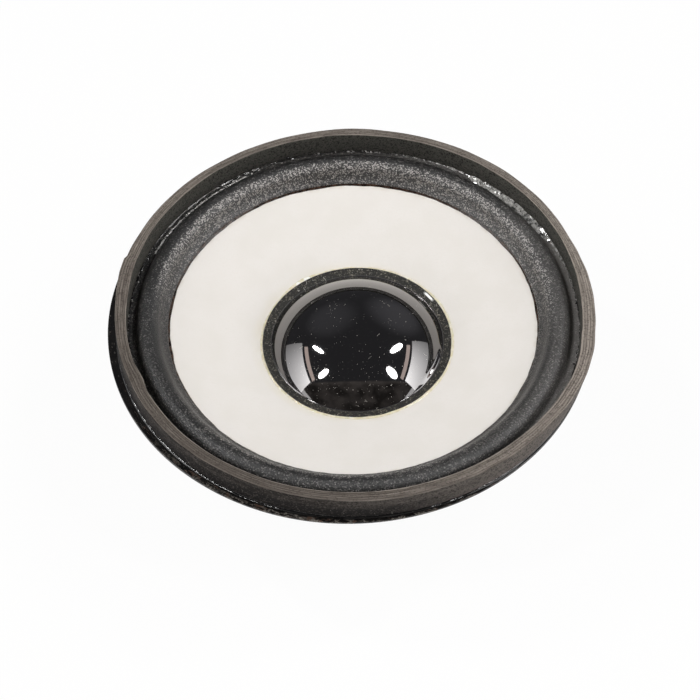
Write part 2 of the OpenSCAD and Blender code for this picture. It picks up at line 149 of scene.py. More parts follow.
class Field:
    """A value that a finish works out at each point: sums with it add nodes to the finish."""

    def __init__(self, recipe: "Recipe", socket: Socket) -> None:
        """Keeps the finish's recipe and the socket that gives the value."""
        self.recipe = recipe
        self.socket = socket

    def __add__(self, other: "Value") -> "Field":
        """The value plus another."""
        return self.recipe.both(self, other, "ADD")

    def __radd__(self, other: "Value") -> "Field":
        """A number plus the value."""
        return self.recipe.both(other, self, "ADD")

    def __sub__(self, other: "Value") -> "Field":
        """The value less another."""
        return self.recipe.both(self, other, "SUBTRACT")

    def __rsub__(self, other: "Value") -> "Field":
        """What the value leaves of a number."""
        return self.recipe.both(other, self, "SUBTRACT")

    def __mul__(self, other: "Value") -> "Field":
        """The value times another."""
        return self.recipe.both(self, other, "MULTIPLY")

    def __pow__(self, other: "Value") -> "Field":
        """The value to a power."""
        return self.recipe.both(self, other, "POWER")


class Recipe:
    """The node tree of one finish, with the coordinates that pieces round one axis need."""

    def __init__(self, name: str, soft: bool = False) -> None:
        """Starts a material.

        Args:
            name: The material's name.
            soft: Whether the piece stretches, so that its pattern follows the stored rest position.
        """
        self.material = bpy.data.materials.new(name)
        self.material.use_nodes = True
        self.tree = self.material.node_tree
        self.tree.nodes.clear()
        shader = self.add("BsdfPrincipled")
        self.shader = shader.socket.node
        self.add("OutputMaterial", {"Surface": shader}, out=None)
        if soft:
            self.point = self.add("Attribute", out="Vector", attribute_name=REST)
        else:
            self.point = self.add("TexCoord", out="Object")
        self.radius = self.reach(self.point)
        self.x, self.y, self.z = (self.add("SeparateXYZ", {0: self.point}, out=i) for i in range(3))
        self.angle = self.both(self.y, self.x, "ARCTAN2")

    def add(
        self,
        kind: str,
        inputs: Optional[dict] = None,
        out: Union[int, str, None] = 0,
        **settings: object,
    ) -> Field:
        """Adds a node to this finish, as add_node does, and wraps its output."""
        return Field(self, add_node(self.tree, kind, inputs, out, **settings))

    def reach(self, point: Socket) -> Field:
        """Distance of a point from the axis, in mm."""
        flat = self.add("VectorMath", {0: point, 1: (PER_M, PER_M, 0)}, operation="MULTIPLY")
        return self.add("VectorMath", {0: flat}, out="Value", operation="LENGTH")

    def both(self, first: Value, second: Value, operation: str = "MULTIPLY") -> Field:
        """Two values joined by one sum, by default their product."""
        return self.add("Math", {0: first, 1: second}, operation=operation)

    def grain(self, size_mm: float, detail: float = 2.0, vector: Optional[Field] = None) -> Field:
        """Noise from about 0.3 to 0.7, with lumps of a real size and octaves of finer detail."""
        keys = {"Vector": vector or self.point, "Scale": 1 / (size_mm * MM), "Detail": detail}
        return self.add("TexNoise", keys)

    def cells(self, size_mm: float) -> Field:
        """Distance to the nearest of points scattered a real distance apart, as a part of it."""
        keys = {"Vector": self.point, "Scale": 1 / (size_mm * MM)}
        return self.add("TexVoronoi", keys, out="Distance")

    def chance(self, size_mm: float) -> Field:
        """A random value from 0 to 1 for each speck of a real size."""
        keys = {"Vector": self.point, "Scale": 1 / (size_mm * MM)}
        return self.add("SeparateXYZ", {0: self.add("TexVoronoi", keys, out="Color")})

    def gap(self, point: Corner) -> Field:
        """Distance from a point given in mm, in mm."""
        scaled = self.add("VectorMath", {0: self.point, 1: (PER_M, PER_M, PER_M)}, operation="MULTIPLY")
        return self.add("VectorMath", {0: scaled, 1: point}, out="Value", operation="DISTANCE")

    def step(self, value: Field, low: float, high: float, top: float = 1.0) -> Field:
        """A soft step from 0 at low to top at high."""
        keys = {"Value": value, "From Min": low, "From Max": high, "To Max": top}
        return self.add("MapRange", keys, interpolation_type="SMOOTHSTEP")

    def blend(self, share: Value, *colours: Union[str, Field]) -> Field:
        """The first of two colours, hex codes or fields, at a share of 0 and the second at 1."""
        first, second = (linear(c) if isinstance(c, str) else c for c in colours)
        return self.add("Mix", {0: share, 6: first, 7: second}, out=2, data_type="RGBA")

    def toward(self, degrees: float) -> Field:
        """1 on the side of a ring at an angle, falling to 0 behind its quarters."""
        turn = self.angle - math.radians(degrees)
        return self.step(self.both(turn, 0.0, "COSINE"), -0.25, 1.0)

    def lobes(self, base: float, table: Lobes) -> Field:
        """A base value with lobes round the axis.

        Args:
            base: Value where no lobe reaches.
            table: Direction in degrees, sharpness and height of each lobe.

        Returns:
            The sum.
        """
        total: Value = base
        for degrees, power, height in table:
            lobe = self.toward(degrees) ** power * height
            total = total + lobe
        return total

    def along_ring(self, across_mm: float, along_mm: float, detail: float = 2.0) -> Field:
        """Noise whose streaks run round the axis.

        Args:
            across_mm: Width of a streak.
            along_mm: Length of a streak at a radius of 60 mm.
            detail: Octaves of finer noise.

        Returns:
            A value from about 0.3 to 0.7.
        """
        turn = RING_R / along_mm
        east, north = (self.both(self.angle, 0.0, way) for way in ("COSINE", "SINE"))
        out = self.radius * (1 / across_mm)
        up = self.z * (PER_M / across_mm)
        place = self.add("CombineXYZ", {0: east * turn, 1: north * turn, 2: up})
        keys = {"Vector": place, "W": out, "Scale": 1.0, "Detail": detail}
        return self.add("TexNoise", keys, noise_dimensions="4D")

    def upward(self) -> Field:
        """1 on faces that look to the front of the driver, 0 on its walls and rear."""
        normal = self.add("NewGeometry", out="Normal")
        return self.step(self.add("SeparateXYZ", {0: normal}, out=2), *FACING)

    def relief(self, height: Value, depth_mm: float, under: Optional[Field] = None) -> Field:
        """A bump of a real depth, on top of another one if given.

        Args:
            height: Height field of the bump.
            depth_mm: Its depth where the field is 1.
            under: Normal of another bump beneath it.

        Returns:
            The bumped normal.
        """
        keys = {"Height": height, "Distance": depth_mm * MM, "Strength": 1.0}
        if under:
            keys["Normal"] = under
        return self.add("Bump", keys)

    def wear(self, **sockets: Value) -> None:
        """Sets the shader's own sockets, named with _ for each space."""
        for key, value in sockets.items():
            socket = self.shader.inputs[key.replace("_", " ")]
            if isinstance(value, Field):
                self.tree.links.new(value.socket, socket)
            else:
                socket.default_value = value


@dataclass(frozen=True)
class Finish:
    """One real material, made once and shared by its pieces."""

    name: str = "finish"
    soft: bool = False

    def material(self) -> bpy.types.Material:
        """Makes the Blender material, or gives the one made before.

        Returns:
            The material.
        """
        made = bpy.data.materials.get(self.name)
        if made is None:
            recipe = Recipe(self.name, self.soft)
            self.paint(recipe)
            made = recipe.material
        return made

    def paint(self, r: Recipe) -> None:
        """Fills the recipe."""
        raise NotImplementedError


@dataclass(frozen=True)
class StovedEnamel(Finish):
    """Black stoved enamel on pressed steel: glossy with orange peel, the rim rubbed through to steel in
    front.
    """

    name: str = "stoved_black_enamel"
    enamel: str = "#111010"
    dusty: str = "#262422"
    steel: str = "#7d7770"
    rust: str = "#4e382d"
    peel_mm: float = 1.3
    worn_from_mm: float = 64.0
    worn_at_deg: float = 266.0
    front_z: Point = (0.0416, 0.0418)
    scratched: float = 0.5
    peel_depth_mm: float = 0.06

    def paint(self, r: Recipe) -> None:
        """Fills the recipe.

        Args:
            r: The recipe to fill.
        """
        dust = r.step(r.grain(7.0, 4.0), 0.42, 0.75, 0.6)
        coat = r.blend(dust, self.enamel, self.dusty)
        rim = r.step(r.radius, self.worn_from_mm, self.worn_from_mm + 0.5)
        rim = rim * r.step(r.z, *self.front_z)
        front = r.toward(self.worn_at_deg) ** 6.0 * rim
        chips = r.step(r.along_ring(0.7, 2.5, 3.0), 0.47, 0.56)
        scratches = rim * r.step(r.along_ring(0.5, 2.0, 3.0), 0.6, 0.64, self.scratched)
        bare_and_glint = r.both(front * chips, scratches, "MAXIMUM")
        rusty = bare_and_glint * r.step(r.along_ring(1.5, 2.5, 3.0), 0.55, 0.63)
        metal = r.blend(r.step(r.grain(0.5), 0.35, 0.65), self.steel, self.dusty)
        colour = r.blend(bare_and_glint, coat, metal)
        r.wear(
            Base_Color=r.blend(rusty, colour, self.rust),
            Roughness=r.step(r.grain(4.0, 3.0), 0.3, 0.75, 0.25) + bare_and_glint * 0.4,
            Metallic=bare_and_glint * 0.3,
            Normal=r.relief(r.grain(self.peel_mm), self.peel_depth_mm, r.relief(r.grain(0.25), 0.006)),
        )


@dataclass(frozen=True)
class WoundBoard(Finish):
    """Grey pasteboard strip wound into a ring: pale cut plies on top, black-brown sized walls with
    painted shade at the foot.
    """

    name: str = "wound_grey_board"
    soft: bool = True
    cut: str = "#5b544e"
    cut_dark: str = "#37312d"
    cut_pale: str = "#a0978e"
    inner_wall: str = "#4f4e49"
    wall: str = "#25211e"
    wall_pale: str = "#706964"
    wall_black: str = "#161414"
    scuff: str = "#c9c4bc"
    ply_mm: float = 0.62
    inner_mm: float = 60.7
    outer_mm: float = 63.75
    # Angle towards which the board's top and outer wall are paler
    paler_at_deg: float = -22.0
    dark_at_deg: float = 250.0
    fibre_mm: Point = (0.16, 5.0)
    tone_share: float = 0.2
    paler_share: float = 0.33
    dark_share: float = -0.42
    fibre_share: float = 0.5
    seam_share: float = 0.75
    # Heights over which the outer wall turns black: painted shade towards its foot
    shaded_foot_z: Point = (0.0484, 0.0454)
    scuffed_z: Point = (0.0462, 0.0448)
    depth_mm: float = 0.08

    def paint(self, r: Recipe) -> None:
        """Fills the recipe.

        Args:
            r: The recipe to fill.
        """
        wobble = (r.along_ring(6.0, 16.0) - 0.5) * 0.7
        depth = r.radius + wobble - self.inner_mm
        ply = depth * (1 / self.ply_mm) - r.angle * (1 / math.tau)
        within = r.both(ply, 0.0, "FRACT")
        seam = r.both(r.step(within, 0.16, 0.0), r.step(within, 0.86, 1.0), "MAXIMUM")
        tone = r.add("TexWhiteNoise", {"W": r.both(ply, 0.0, "FLOOR")}, noise_dimensions="1D")
        fibre = r.along_ring(*self.fibre_mm, 3.0)
        paler_side, dark = r.toward(self.paler_at_deg), r.toward(self.dark_at_deg)
        share = tone * self.tone_share + paler_side * self.paler_share
        share = share + dark * self.dark_share
        share = share + r.step(fibre, 0.36, 0.64, self.fibre_share)
        face = r.blend(share, self.cut, self.cut_pale)
        face = r.blend(seam * self.seam_share, face, self.cut_dark)
        face = r.blend(r.step(r.chance(0.35), 0.6, 1.0, 0.5), face, self.cut_dark)
        edges = r.both(
            r.step(r.radius, self.inner_mm + 0.42, self.inner_mm + 0.22),
            r.step(r.radius, self.outer_mm - 0.35, self.outer_mm - 0.2, 0.6),
            "MAXIMUM",
        )
        face = r.blend(edges * r.step(fibre, 0.3, 0.6, 0.6), face, self.cut_pale)
        on_outside = r.step(r.radius, self.inner_mm + 1.0, self.inner_mm + 2.0)
        # The outer wall paler towards that side, with pale streaks
        paler_wall = paler_side ** 2.0 * 0.75
        wear_and_highlight = paler_wall + r.step(r.along_ring(1.2, 7.0, 4.0), 0.4, 0.7, 0.25)
        outside = r.blend(wear_and_highlight, self.wall, self.wall_pale)
        # Painted shade: the outer wall goes black towards its foot by the flange, less on the paler side
        ragged = r.z + (r.along_ring(2.0, 6.0) - 0.5) * 0.002
        shaded_foot = r.step(ragged, *self.shaded_foot_z) * r.step(paler_side, 0.97, 0.6, 0.9)
        outside = r.blend(shaded_foot, outside, self.wall_black)
        side = r.blend(on_outside, self.inner_wall, outside)
        speck_and_glint = r.chance(0.33)
        side = r.blend(r.step(speck_and_glint, 0.45, 0.0, 0.75), side, self.wall_black)
        side = r.blend(r.step(speck_and_glint, 0.72, 1.0, 0.3), side, self.wall_pale)
        low = r.step(r.z, *self.scuffed_z) * on_outside
        specks = r.step(r.cells(0.9), 0.16, 0.1) * r.step(r.grain(2.6, 2.0), 0.55, 0.62)
        side = r.blend(low * specks, side, self.scuff)
        r.wear(
            Base_Color=r.blend(r.upward(), side, face),
            Roughness=0.8,
            Specular_IOR_Level=0.2,
            Normal=r.relief(fibre, self.depth_mm, r.relief(seam * -1.0, self.depth_mm)),
        )


@dataclass(frozen=True)
class OpenFoam(Finish):
    """Open-cell polyurethane foam, charcoal black: dull, with pale rims of its cells, brown age, painted
    highlights and shade.
    """

    name: str = "charcoal_polyurethane_foam"
    soft: bool = True
    cell: str = "#0b0b0b"
    strut: str = "#aca8a4"
    aged: str = "#5a5046"
    cell_mm: float = 0.28
    lip_mm: float = 51.3
    # Painted highlight on the roll's inner slope: a base share and lobes round the ring, strongest at 45
    # and 133 degrees
    slope: float = 0.4
    slope_highlight_lobes: Lobes = (
        (45, 8, 3.2),
        (133, 8, 3.2),
        (90, 2, 1.0),
        (240, 2, 1.0),
        (180, 6, -1.9),
        (0, 4, -0.8),
    )
    # Share of pale crumbs everywhere; the crest lobes paint light at the right and shade towards the
    # upper left
    crest: float = 0.48
    crest_lobes: Lobes = ((0, 6, 0.10), (50, 6, -0.05), (135, 6, -0.15), (225, 6, -0.05))
    # Painted light on the outer land beside the board, strongest at the right and the back
    land: float = 0.032
    land_lobes: Lobes = ((0, 4, 0.3), (90, 1, 0.12))
    land_mm: Point = (57.8, 59.2)
    slope_mm: Point = (3.3, 2.0)
    patchy: float = 0.09
    fine_share: float = 0.071
    brown_share: float = 0.3
    crumb_depth_mm: float = 0.03
    fine_depth_mm: float = 0.09
    cell_depth_mm: float = 0.07

    def paint(self, r: Recipe) -> None:
        """Fills the recipe.

        Args:
            r: The recipe to fill.
        """
        fine = r.grain(self.cell_mm, 3.0)
        cells = r.cells(self.cell_mm)
        specks_and_glints = r.chance(self.cell_mm) ** 6.0
        patch = (r.grain(6.0, 3.0) - 0.5) * self.patchy
        near_lip = r.step(r.radius, *(self.lip_mm + reach for reach in self.slope_mm))
        rising = r.step(r.radius, self.lip_mm, self.lip_mm + 1.1, 0.7)
        band = near_lip * (rising + 0.3)
        # Painted highlight on the inner slope, carried by the pale crumbs
        pale = band * r.lobes(self.slope, self.slope_highlight_lobes)
        wear_and_highlight = specks_and_glints * (pale + self.crest)
        # Painted light on the land, and painted light and shade on the crest
        land = r.step(r.radius, *self.land_mm) * r.lobes(self.land, self.land_lobes)
        crest = (1.0 - near_lip) * r.lobes(0.0, self.crest_lobes)
        tone = land + crest + patch
        share = wear_and_highlight + tone + r.step(fine, 0.35, 0.75, self.fine_share)
        colour = r.blend(share, self.cell, self.strut)
        by_lip = r.step(r.radius, self.lip_mm + 1.5, self.lip_mm + 0.4)
        brown = r.step(r.grain(9.0), 0.5, 0.7, 0.3) + by_lip
        below = r.relief(fine, self.fine_depth_mm, r.relief(cells, self.cell_depth_mm))
        r.wear(
            Base_Color=r.blend(brown * self.brown_share * share, colour, self.aged),
            Roughness=0.38,
            IOR=1.5,
            Specular_IOR_Level=0.8,
            Normal=r.relief(specks_and_glints, self.crumb_depth_mm, below),
        )


@dataclass(frozen=True)
class FeltedPaper(Finish):
    """White felted paper pulp, pressed: matt cream, softly clouded, yellowed beside the glue."""

    name: str = "felted_white_paper"
    pulp: str = "#ebe7e2"
    cloud: str = "#e8e4de"
    aged: str = "#e3dac2"
    soiled: str = "#cfc6b8"
    cap_mm: float = 25.7
    edge_mm: float = 49.5
    stain_mm: float = 3.0
    grime_mm: float = 1.2

    def paint(self, r: Recipe) -> None:
        """Fills the recipe.

        Args:
            r: The recipe to fill.
        """
        colour = r.blend(r.step(r.grain(9.0, 4.0), 0.35, 0.7), self.pulp, self.cloud)
        fibre = r.grain(0.55, 4.0)
        colour = r.blend(r.step(fibre, 0.5, 0.7, 0.7), colour, self.cloud)
        stain = r.step(r.radius, self.cap_mm + self.stain_mm, self.cap_mm, 0.35)
        stain = stain * r.step(r.grain(7.0), 0.2, 0.75)
        colour = r.blend(stain, colour, self.aged)
        rim = r.step(r.radius, self.edge_mm - self.grime_mm, self.edge_mm, 0.5)
        grime = rim * r.step(r.grain(2.5, 3.0), 0.4, 0.7)
        colour = r.blend(grime, colour, self.soiled)
        r.wear(
            Base_Color=colour,
            Roughness=0.9,
            Specular_IOR_Level=0.25,
            Normal=r.relief(fibre, 0.02, r.relief(r.grain(3.0), 0.02)),
        )


@dataclass(frozen=True)
class BlackenedAluminium(Finish):
    """Spun aluminium, dyed black, polished and lacquered: a dark mirror with dust, short fibres and a
    painted highlight.
    """

    name: str = "black_dyed_polished_aluminium"
    mirror: str = "#6f6d6d"
    skirt: str = "#201f1c"
    grime: str = "#8f897c"
    dust: str = "#a9a69e"
    dome_mm: float = 23.2
    speck_mm: float = 0.9
    dot_mm: float = 0.5
    shift_mm: float = 1.0
    # A painted highlight on the skirt: its white colour, radius, middle and size in mm
    bare_and_glint: str = "#f4f3f1"
    glint_r: float = 25.0
    glint_at: Corner = (21.0, 15.1, 33.2)
    glint_mm: Point = (2.4, 1.2)
    speck_and_glint_mm: float = 0.3
    skirt_rough: float = 0.72

    def paint(self, r: Recipe) -> None:
        """Fills the recipe.

        Args:
            r: The recipe to fill.
        """
        centred = r.add("VectorMath", {0: r.point, 1: (-self.shift_mm * MM, 0, 0)}, operation="ADD")
        on_skirt = r.step(r.reach(centred), self.dome_mm, self.dome_mm + 0.4)
        some = r.step(r.grain(1.3, 0.0), 0.60, 0.64)
        specks = r.step(r.cells(self.speck_mm), 0.14, 0.08) * some
        hair = r.both(r.grain(2.2, 0.0) - 0.5, 0.0, "ABSOLUTE")
        hairs = r.step(hair, 0.014, 0.006) * r.step(r.grain(1.7, 0.0), 0.72, 0.75)
        edges = r.step(r.both(r.y, 0.0, "ABSOLUTE"), 0.004, 0.017, 0.12)
        thick = r.step(r.grain(4.0, 3.0) + edges, 0.46, 0.66)
        some = r.step(r.chance(self.dot_mm), 0.45, 1.0, 0.75)
        dots = r.step(r.cells(self.dot_mm), 0.24, 0.12) * some
        powder = dots * (r.both(thick, on_skirt, "MAXIMUM") + 0.15)
        haze = r.both(r.both(specks, hairs, "MAXIMUM"), powder, "MAXIMUM")
        specks_and_glints = r.chance(self.speck_and_glint_mm) ** 7.0
        specks_and_glints = specks_and_glints * r.step(r.grain(1.6, 4.0), 0.25, 0.7)
        dull = r.blend(specks_and_glints, self.skirt, self.grime)
        base = r.blend(on_skirt, self.mirror, dull)
        # Painted highlight: a short white arc on the skirt, metallic and rough so that it shows white
        beside = r.both(r.reach(centred) - self.glint_r, 0.0, "ABSOLUTE")
        glint = r.step(beside, 0.42, 0.2) * r.step(r.gap(self.glint_at), *self.glint_mm)
        base = r.blend(glint, base, self.bare_and_glint)
        plain = r.both(1.0 - on_skirt, glint, "MAXIMUM")
        marks = haze * 0.3 + glint * 0.5
        waves = r.relief(r.grain(9.0, 1.0), 0.02)
        r.wear(
            Base_Color=r.blend(haze, base, self.dust),
            Metallic=plain * (1.0 - haze),
            Roughness=(1.0 - plain) * self.skirt_rough + marks,
            Coat_Weight=plain,
            Coat_Roughness=0.06,
            Normal=r.relief(r.grain(0.8, 3.0) * on_skirt, 0.05, waves),
        )


@dataclass(frozen=True)
class Cement(Finish):
    """Adhesive laid as a bead: glossy where thick, with dust where it set last, and white painted
    glints.
    """

    name: str = "cement"
    body: str = "#151516"
    thin: str = "#3a3632"
    rough: float = 0.18
    gloss: float = 0.5
    lacquer: float = 0.0
    clear: float = 0.0
    # The fields below paint glints in white: flecks, a pale film, flecks on the string and spots
    specks_and_glints: float = 0.0
    speck_and_glint: str = "#e8e5e1"
    lump_mm: float = 1.2
    lump_depth_mm: float = 0.12
    inside_mm: float = 61.4
    glint_lobes: Lobes = ()
    glint_film: str = "#d9d8d3"
    glint_film_lobes: Lobes = ()
    string_mm: float = 60.05
    string_glint_lobes: Lobes = ()
    glint_spots: Lobes = ()
    speck_and_glint_mm: float = 0.4
    glint_film_mm: Point = (0.3, 1.1)
    edge_mm: float = 0.2
    glint_spot_mm: Point = (0.9, 0.5)

    def paint(self, r: Recipe) -> None:
        """Fills the recipe.

        Args:
            r: The recipe to fill.
        """
        lump = r.grain(self.lump_mm, 3.0)
        colour = r.blend(r.step(lump, 0.35, 0.7), self.body, self.thin)
        inside = r.step(r.radius, self.inside_mm + self.edge_mm, self.inside_mm - self.edge_mm)
        # Painted reflection: a pale film on the smear, where its gloss would mirror the lamps
        if self.glint_film_lobes:
            speck_and_glint, cloud = self.glint_film_mm
            glint_film = r.step(r.chance(speck_and_glint), -0.5, 0.9) * r.step(r.grain(cloud, 4.0), 0.3, 0.62)
            glint_film = r.lobes(0.0, self.glint_film_lobes) * glint_film
            colour = r.blend(glint_film * inside, colour, self.glint_film)
        # Painted glints: white flecks on the bead, more or fewer round the ring
        glints = r.step(r.chance(self.speck_and_glint_mm), 0.65, 0.85) * r.step(r.grain(2.5), 0.38, 0.6)
        glints = glints * r.lobes(self.specks_and_glints, self.glint_lobes) * inside
        # Painted glints along the string of cement
        if self.string_glint_lobes:
            reach = self.edge_mm / 2
            string = r.step(r.radius, self.string_mm + reach, self.string_mm - reach)
            string = string * r.lobes(0.0, self.string_glint_lobes)
            string = string * r.step(r.chance(self.speck_and_glint_mm), 0.1, 0.5)
            glints = r.both(glints, string, "MAXIMUM")
        # Painted highlights: white spots round given points
        for glint_spot in self.glint_spots:
            glints = r.both(glints, r.step(r.gap(glint_spot), *self.glint_spot_mm), "MAXIMUM")
        r.wear(
            Base_Color=r.blend(glints, colour, self.speck_and_glint),
            Roughness=r.step(r.grain(0.8), 0.2, 1.4, self.rough * 3.0),
            Specular_IOR_Level=self.gloss,
            Coat_Weight=inside * self.lacquer,
            Coat_Roughness=0.06,
            Subsurface_Weight=self.clear,
            Subsurface_Radius=(0.001, 0.0007, 0.0003),
            Normal=r.relief(lump, self.lump_depth_mm),
        )


@dataclass(frozen=True)
class VarnishedCloth(Finish):
    """Cotton cloth, phenolic varnished and hot pressed: amber, its threads showing through the gloss."""

    name: str = "varnished_cotton_cloth"
    soft: bool = True
    thread: str = "#bd8c44"
    gap: str = "#7a5220"
    pitch_mm: float = 0.55

    def paint(self, r: Recipe) -> None:
        """Fills the recipe.

        Args:
            r: The recipe to fill.
        """
        keys = {"Vector": r.point, "Scale": 1 / (self.pitch_mm * MM) / WAVE_TURN}
        warp, weft = (r.add("TexWave", keys, out=1, bands_direction=way) for way in "XY")
        weave = r.both(warp, weft, "MAXIMUM")
        colour = r.blend(r.step(weave, 0.2, 0.9), self.gap, self.thread)
        r.wear(
            Base_Color=colour,
            Roughness=0.42,
            Coat_Weight=0.35,
            Coat_Roughness=0.25,
            Normal=r.relief(weave, 0.08),
        )


@dataclass(frozen=True)
class TurnedSteel(Finish):
    """Mild steel, turned and plated: satin rings from the tool and a grey bloom with age."""

    name: str = "zinc_plated_steel"
    bright: str = "#b4b1aa"
    dull: str = "#85817a"
    spot: str = "#6a5a48"
    rough: float = 0.34
    ring_mm: float = 0.35

    def paint(self, r: Recipe) -> None:
        """Fills the recipe.

        Args:
            r: The recipe to fill.
        """
        rings = r.along_ring(self.ring_mm, 120.0, 2.0)
        bloom = r.step(r.grain(9.0, 4.0), 0.42, 0.66)
        colour = r.blend(bloom, self.bright, self.dull)
        stain = r.step(r.grain(2.2, 4.0), 0.62, 0.72) * bloom
        r.wear(
            Base_Color=r.blend(stain, colour, self.spot),
            Metallic=1.0,
            Roughness=bloom * 0.14 + self.rough,
            Normal=r.relief(rings, 0.012),
        )


@dataclass(frozen=True)
class SinteredFerrite(Finish):
    """Sintered ferrite, ground on both faces: dark grey ceramic with pale bruises on its edges."""

    name: str = "sintered_ferrite"
    body: str = "#39393b"
    ground: str = "#4b4a4a"
    bruise: str = "#6c6a68"

    def paint(self, r: Recipe) -> None:
        """Fills the recipe.

        Args:
            r: The recipe to fill.
        """
        pits = r.grain(0.5, 4.0)
        colour = r.blend(r.step(r.grain(4.0, 4.0), 0.4, 0.7), self.body, self.ground)
        colour = r.blend(r.step(pits, 0.62, 0.75, 0.5), colour, self.bruise)
        r.wear(
            Base_Color=colour,
            Roughness=0.55,
            Normal=r.relief(pits, 0.03, r.relief(r.grain(6.0), 0.06)),
        )


@dataclass(frozen=True)
class Phenolic(Finish):
    """Paper-based phenolic board: brown, with a faint sheet grain and a low gloss."""

    name: str = "phenolic_paper_board"
    body: str = "#6f4a2a"
    dark: str = "#4d321c"

    def paint(self, r: Recipe) -> None:
        """Fills the recipe.

        Args:
            r: The recipe to fill.
        """
        long = r.add("Mapping", {"Vector": r.point, "Scale": (0.15, 1.0, 1.0)})
        streak = r.grain(0.7, 4.0, long)
        r.wear(
            Base_Color=r.blend(r.step(streak, 0.38, 0.7), self.body, self.dark),
            Roughness=0.42,
            Normal=r.relief(streak, 0.01),
        )


@dataclass(frozen=True)
class BareMetal(Finish):
    """Stamped, drawn or braided metal of one colour: soft shine, darker where it has tarnished."""

    name: str = "bare_metal"
    bright: str = "#c8c2b0"
    tarnish: str = "#8d8268"
    rough: float = 0.3
    lump_mm: float = 1.4

    def paint(self, r: Recipe) -> None:
        """Fills the recipe.

        Args:
            r: The recipe to fill.
        """
        bloom = r.step(r.grain(self.lump_mm, 4.0), 0.4, 0.7)
        r.wear(
            Base_Color=r.blend(bloom, self.bright, self.tarnish),
            Metallic=1.0,
            Roughness=bloom * 0.2 + self.rough,
            Normal=r.relief(r.grain(0.3, 3.0), 0.008),
        )


@dataclass(frozen=True)
class KraftPaper(Finish):
    """Kraft paper tube: light brown with fibres that run round it."""

    name: str = "kraft_paper_tube"
    body: str = "#c6a678"
    fibre: str = "#9d7c50"

    def paint(self, r: Recipe) -> None:
        """Fills the recipe.

        Args:
            r: The recipe to fill.
        """
        streak = r.along_ring(0.15, 3.0, 3.0)
        r.wear(
            Base_Color=r.blend(r.step(streak, 0.4, 0.7), self.body, self.fibre),
            Roughness=0.7,
            Normal=r.relief(streak, 0.01),
        )


ENAMEL = StovedEnamel()
BOARD = WoundBoard()
FOAM = OpenFoam()
PAPER = FeltedPaper()
CAP_METAL = BlackenedAluminium()
CLOTH = VarnishedCloth()
PLATED = TurnedSteel()
POLE_STEEL = TurnedSteel(name="turned_mild_steel", bright="#9a9893", dull="#787570", rough=0.38)
FERRITE = SinteredFerrite()
PHENOLIC = Phenolic()
TINNED = BareMetal(name="tinned_brass", bright="#cbc3a6", tarnish="#94855c")
RIVET = BareMetal(name="bright_steel_rivet", bright="#bdbab4", tarnish="#8b857c", rough=0.35)
BRAID = BareMetal(
    name="copper_braid", bright="#b9744a", tarnish="#7c4a2e", rough=0.4, soft=True, lump_mm=3.0
)
WIRE = BareMetal(name="enamelled_copper_wire", bright="#b05a2c", tarnish="#8c3f1c", rough=0.2)
KRAFT = KraftPaper()
RUBBER_CEMENT = Cement(
    name="black_rubber_cement",
    body="#0c0c0d",
    thin="#1b1a1a",
    rough=0.08,
    gloss=1.0,
    lacquer=1.0,
    # Painted glints and reflection: most at the upper right, and along the string at the upper left
    glint_lobes=((137.5, 8, -0.7), (32, 50, -0.4), (51, 60, 0.8)),
    glint_film_lobes=((39, 36, 0.85), (51, 90, 0.3)),
    string_glint_lobes=((137.5, 12, 1.0),),
    specks_and_glints=0.8,
    lump_mm=0.9,
)
BROWN_CEMENT = Cement(name="brown_rubber_cement", body="#1f1815", thin="#4a3a31", rough=0.3)
AMBER_CEMENT = Cement(
    name="aged_clear_cement",
    body="#dcd3b6",
    thin="#ece6d4",
    rough=0.12,
    clear=0.2,
    speck_and_glint="#fbfaf6",
    # Painted highlights: white spots on the cap's glue ring near 120 degrees
    glint_spots=((-12.3, 22.3, 33.4), (-12.9, 22.0, 33.4), (-15.0, 20.4, 33.4)),
)


def arc(centre: Point, radius: float, start: float, stop: float, steps: int) -> list[Point]:
    """Points of an arc, with both ends, from a start to a stop angle in degrees."""
    turns = [math.radians(start + (stop - start) * i / steps) for i in range(steps + 1)]
    return [(centre[0] + radius * math.cos(t), centre[1] + radius * math.sin(t)) for t in turns]


def rounded(corners: Sequence[Corner], segments: int = 4, closed: bool = True) -> list[Point]:
    """Rounds the corners of an outline, with a support point beside each round.

    Args:
        corners: Radius, height and rounding of each corner.
        segments: Steps in each round.
        closed: Whether the outline closes on itself.

    Returns:
        The points of the rounded outline.
    """
    points: list[Point] = []
    count = len(corners)
    for i, (r, z, rad) in enumerate(corners):
        if rad <= 0 or (not closed and i in (0, count - 1)):
            points.append((r, z))
            continue
        here = Vector((r, z))
        back = (Vector(corners[i - 1][:2]) - here).normalized()
        ahead = (Vector(corners[(i + 1) % count][:2]) - here).normalized()
        half = math.acos(max(-1.0, min(1.0, back.dot(ahead)))) / 2
        reach = rad / math.tan(half)
        centre = here + (back + ahead).normalized() * rad / math.sin(half)
        first, last = here + back * reach - centre, here + ahead * reach - centre
        points.append(tuple(here + back * (reach + rad * 0.4)))
        for k in range(segments + 1):
            points.append(tuple(centre + first.lerp(last, k / segments).normalized() * rad))
        points.append(tuple(here + ahead * (reach + rad * 0.4)))
    return points


def bend(first: Point, pull: Point, last: Point, steps: int) -> list[Point]:
    """Points of a soft bend from first to last, drawn towards pull.

    Args:
        first: Where it starts.
        pull: The point that draws it.
        last: Where it ends.
        steps: Number of steps.

    Returns:
        The points, both ends included.
    """
    made = []
    for i in range(steps + 1):
        t = i / steps
        a, b, c = (1 - t) ** 2, 2 * t * (1 - t), t * t
        made.append((a * first[0] + b * pull[0] + c * last[0], a * first[1] + b * pull[1] + c * last[1]))
    return made


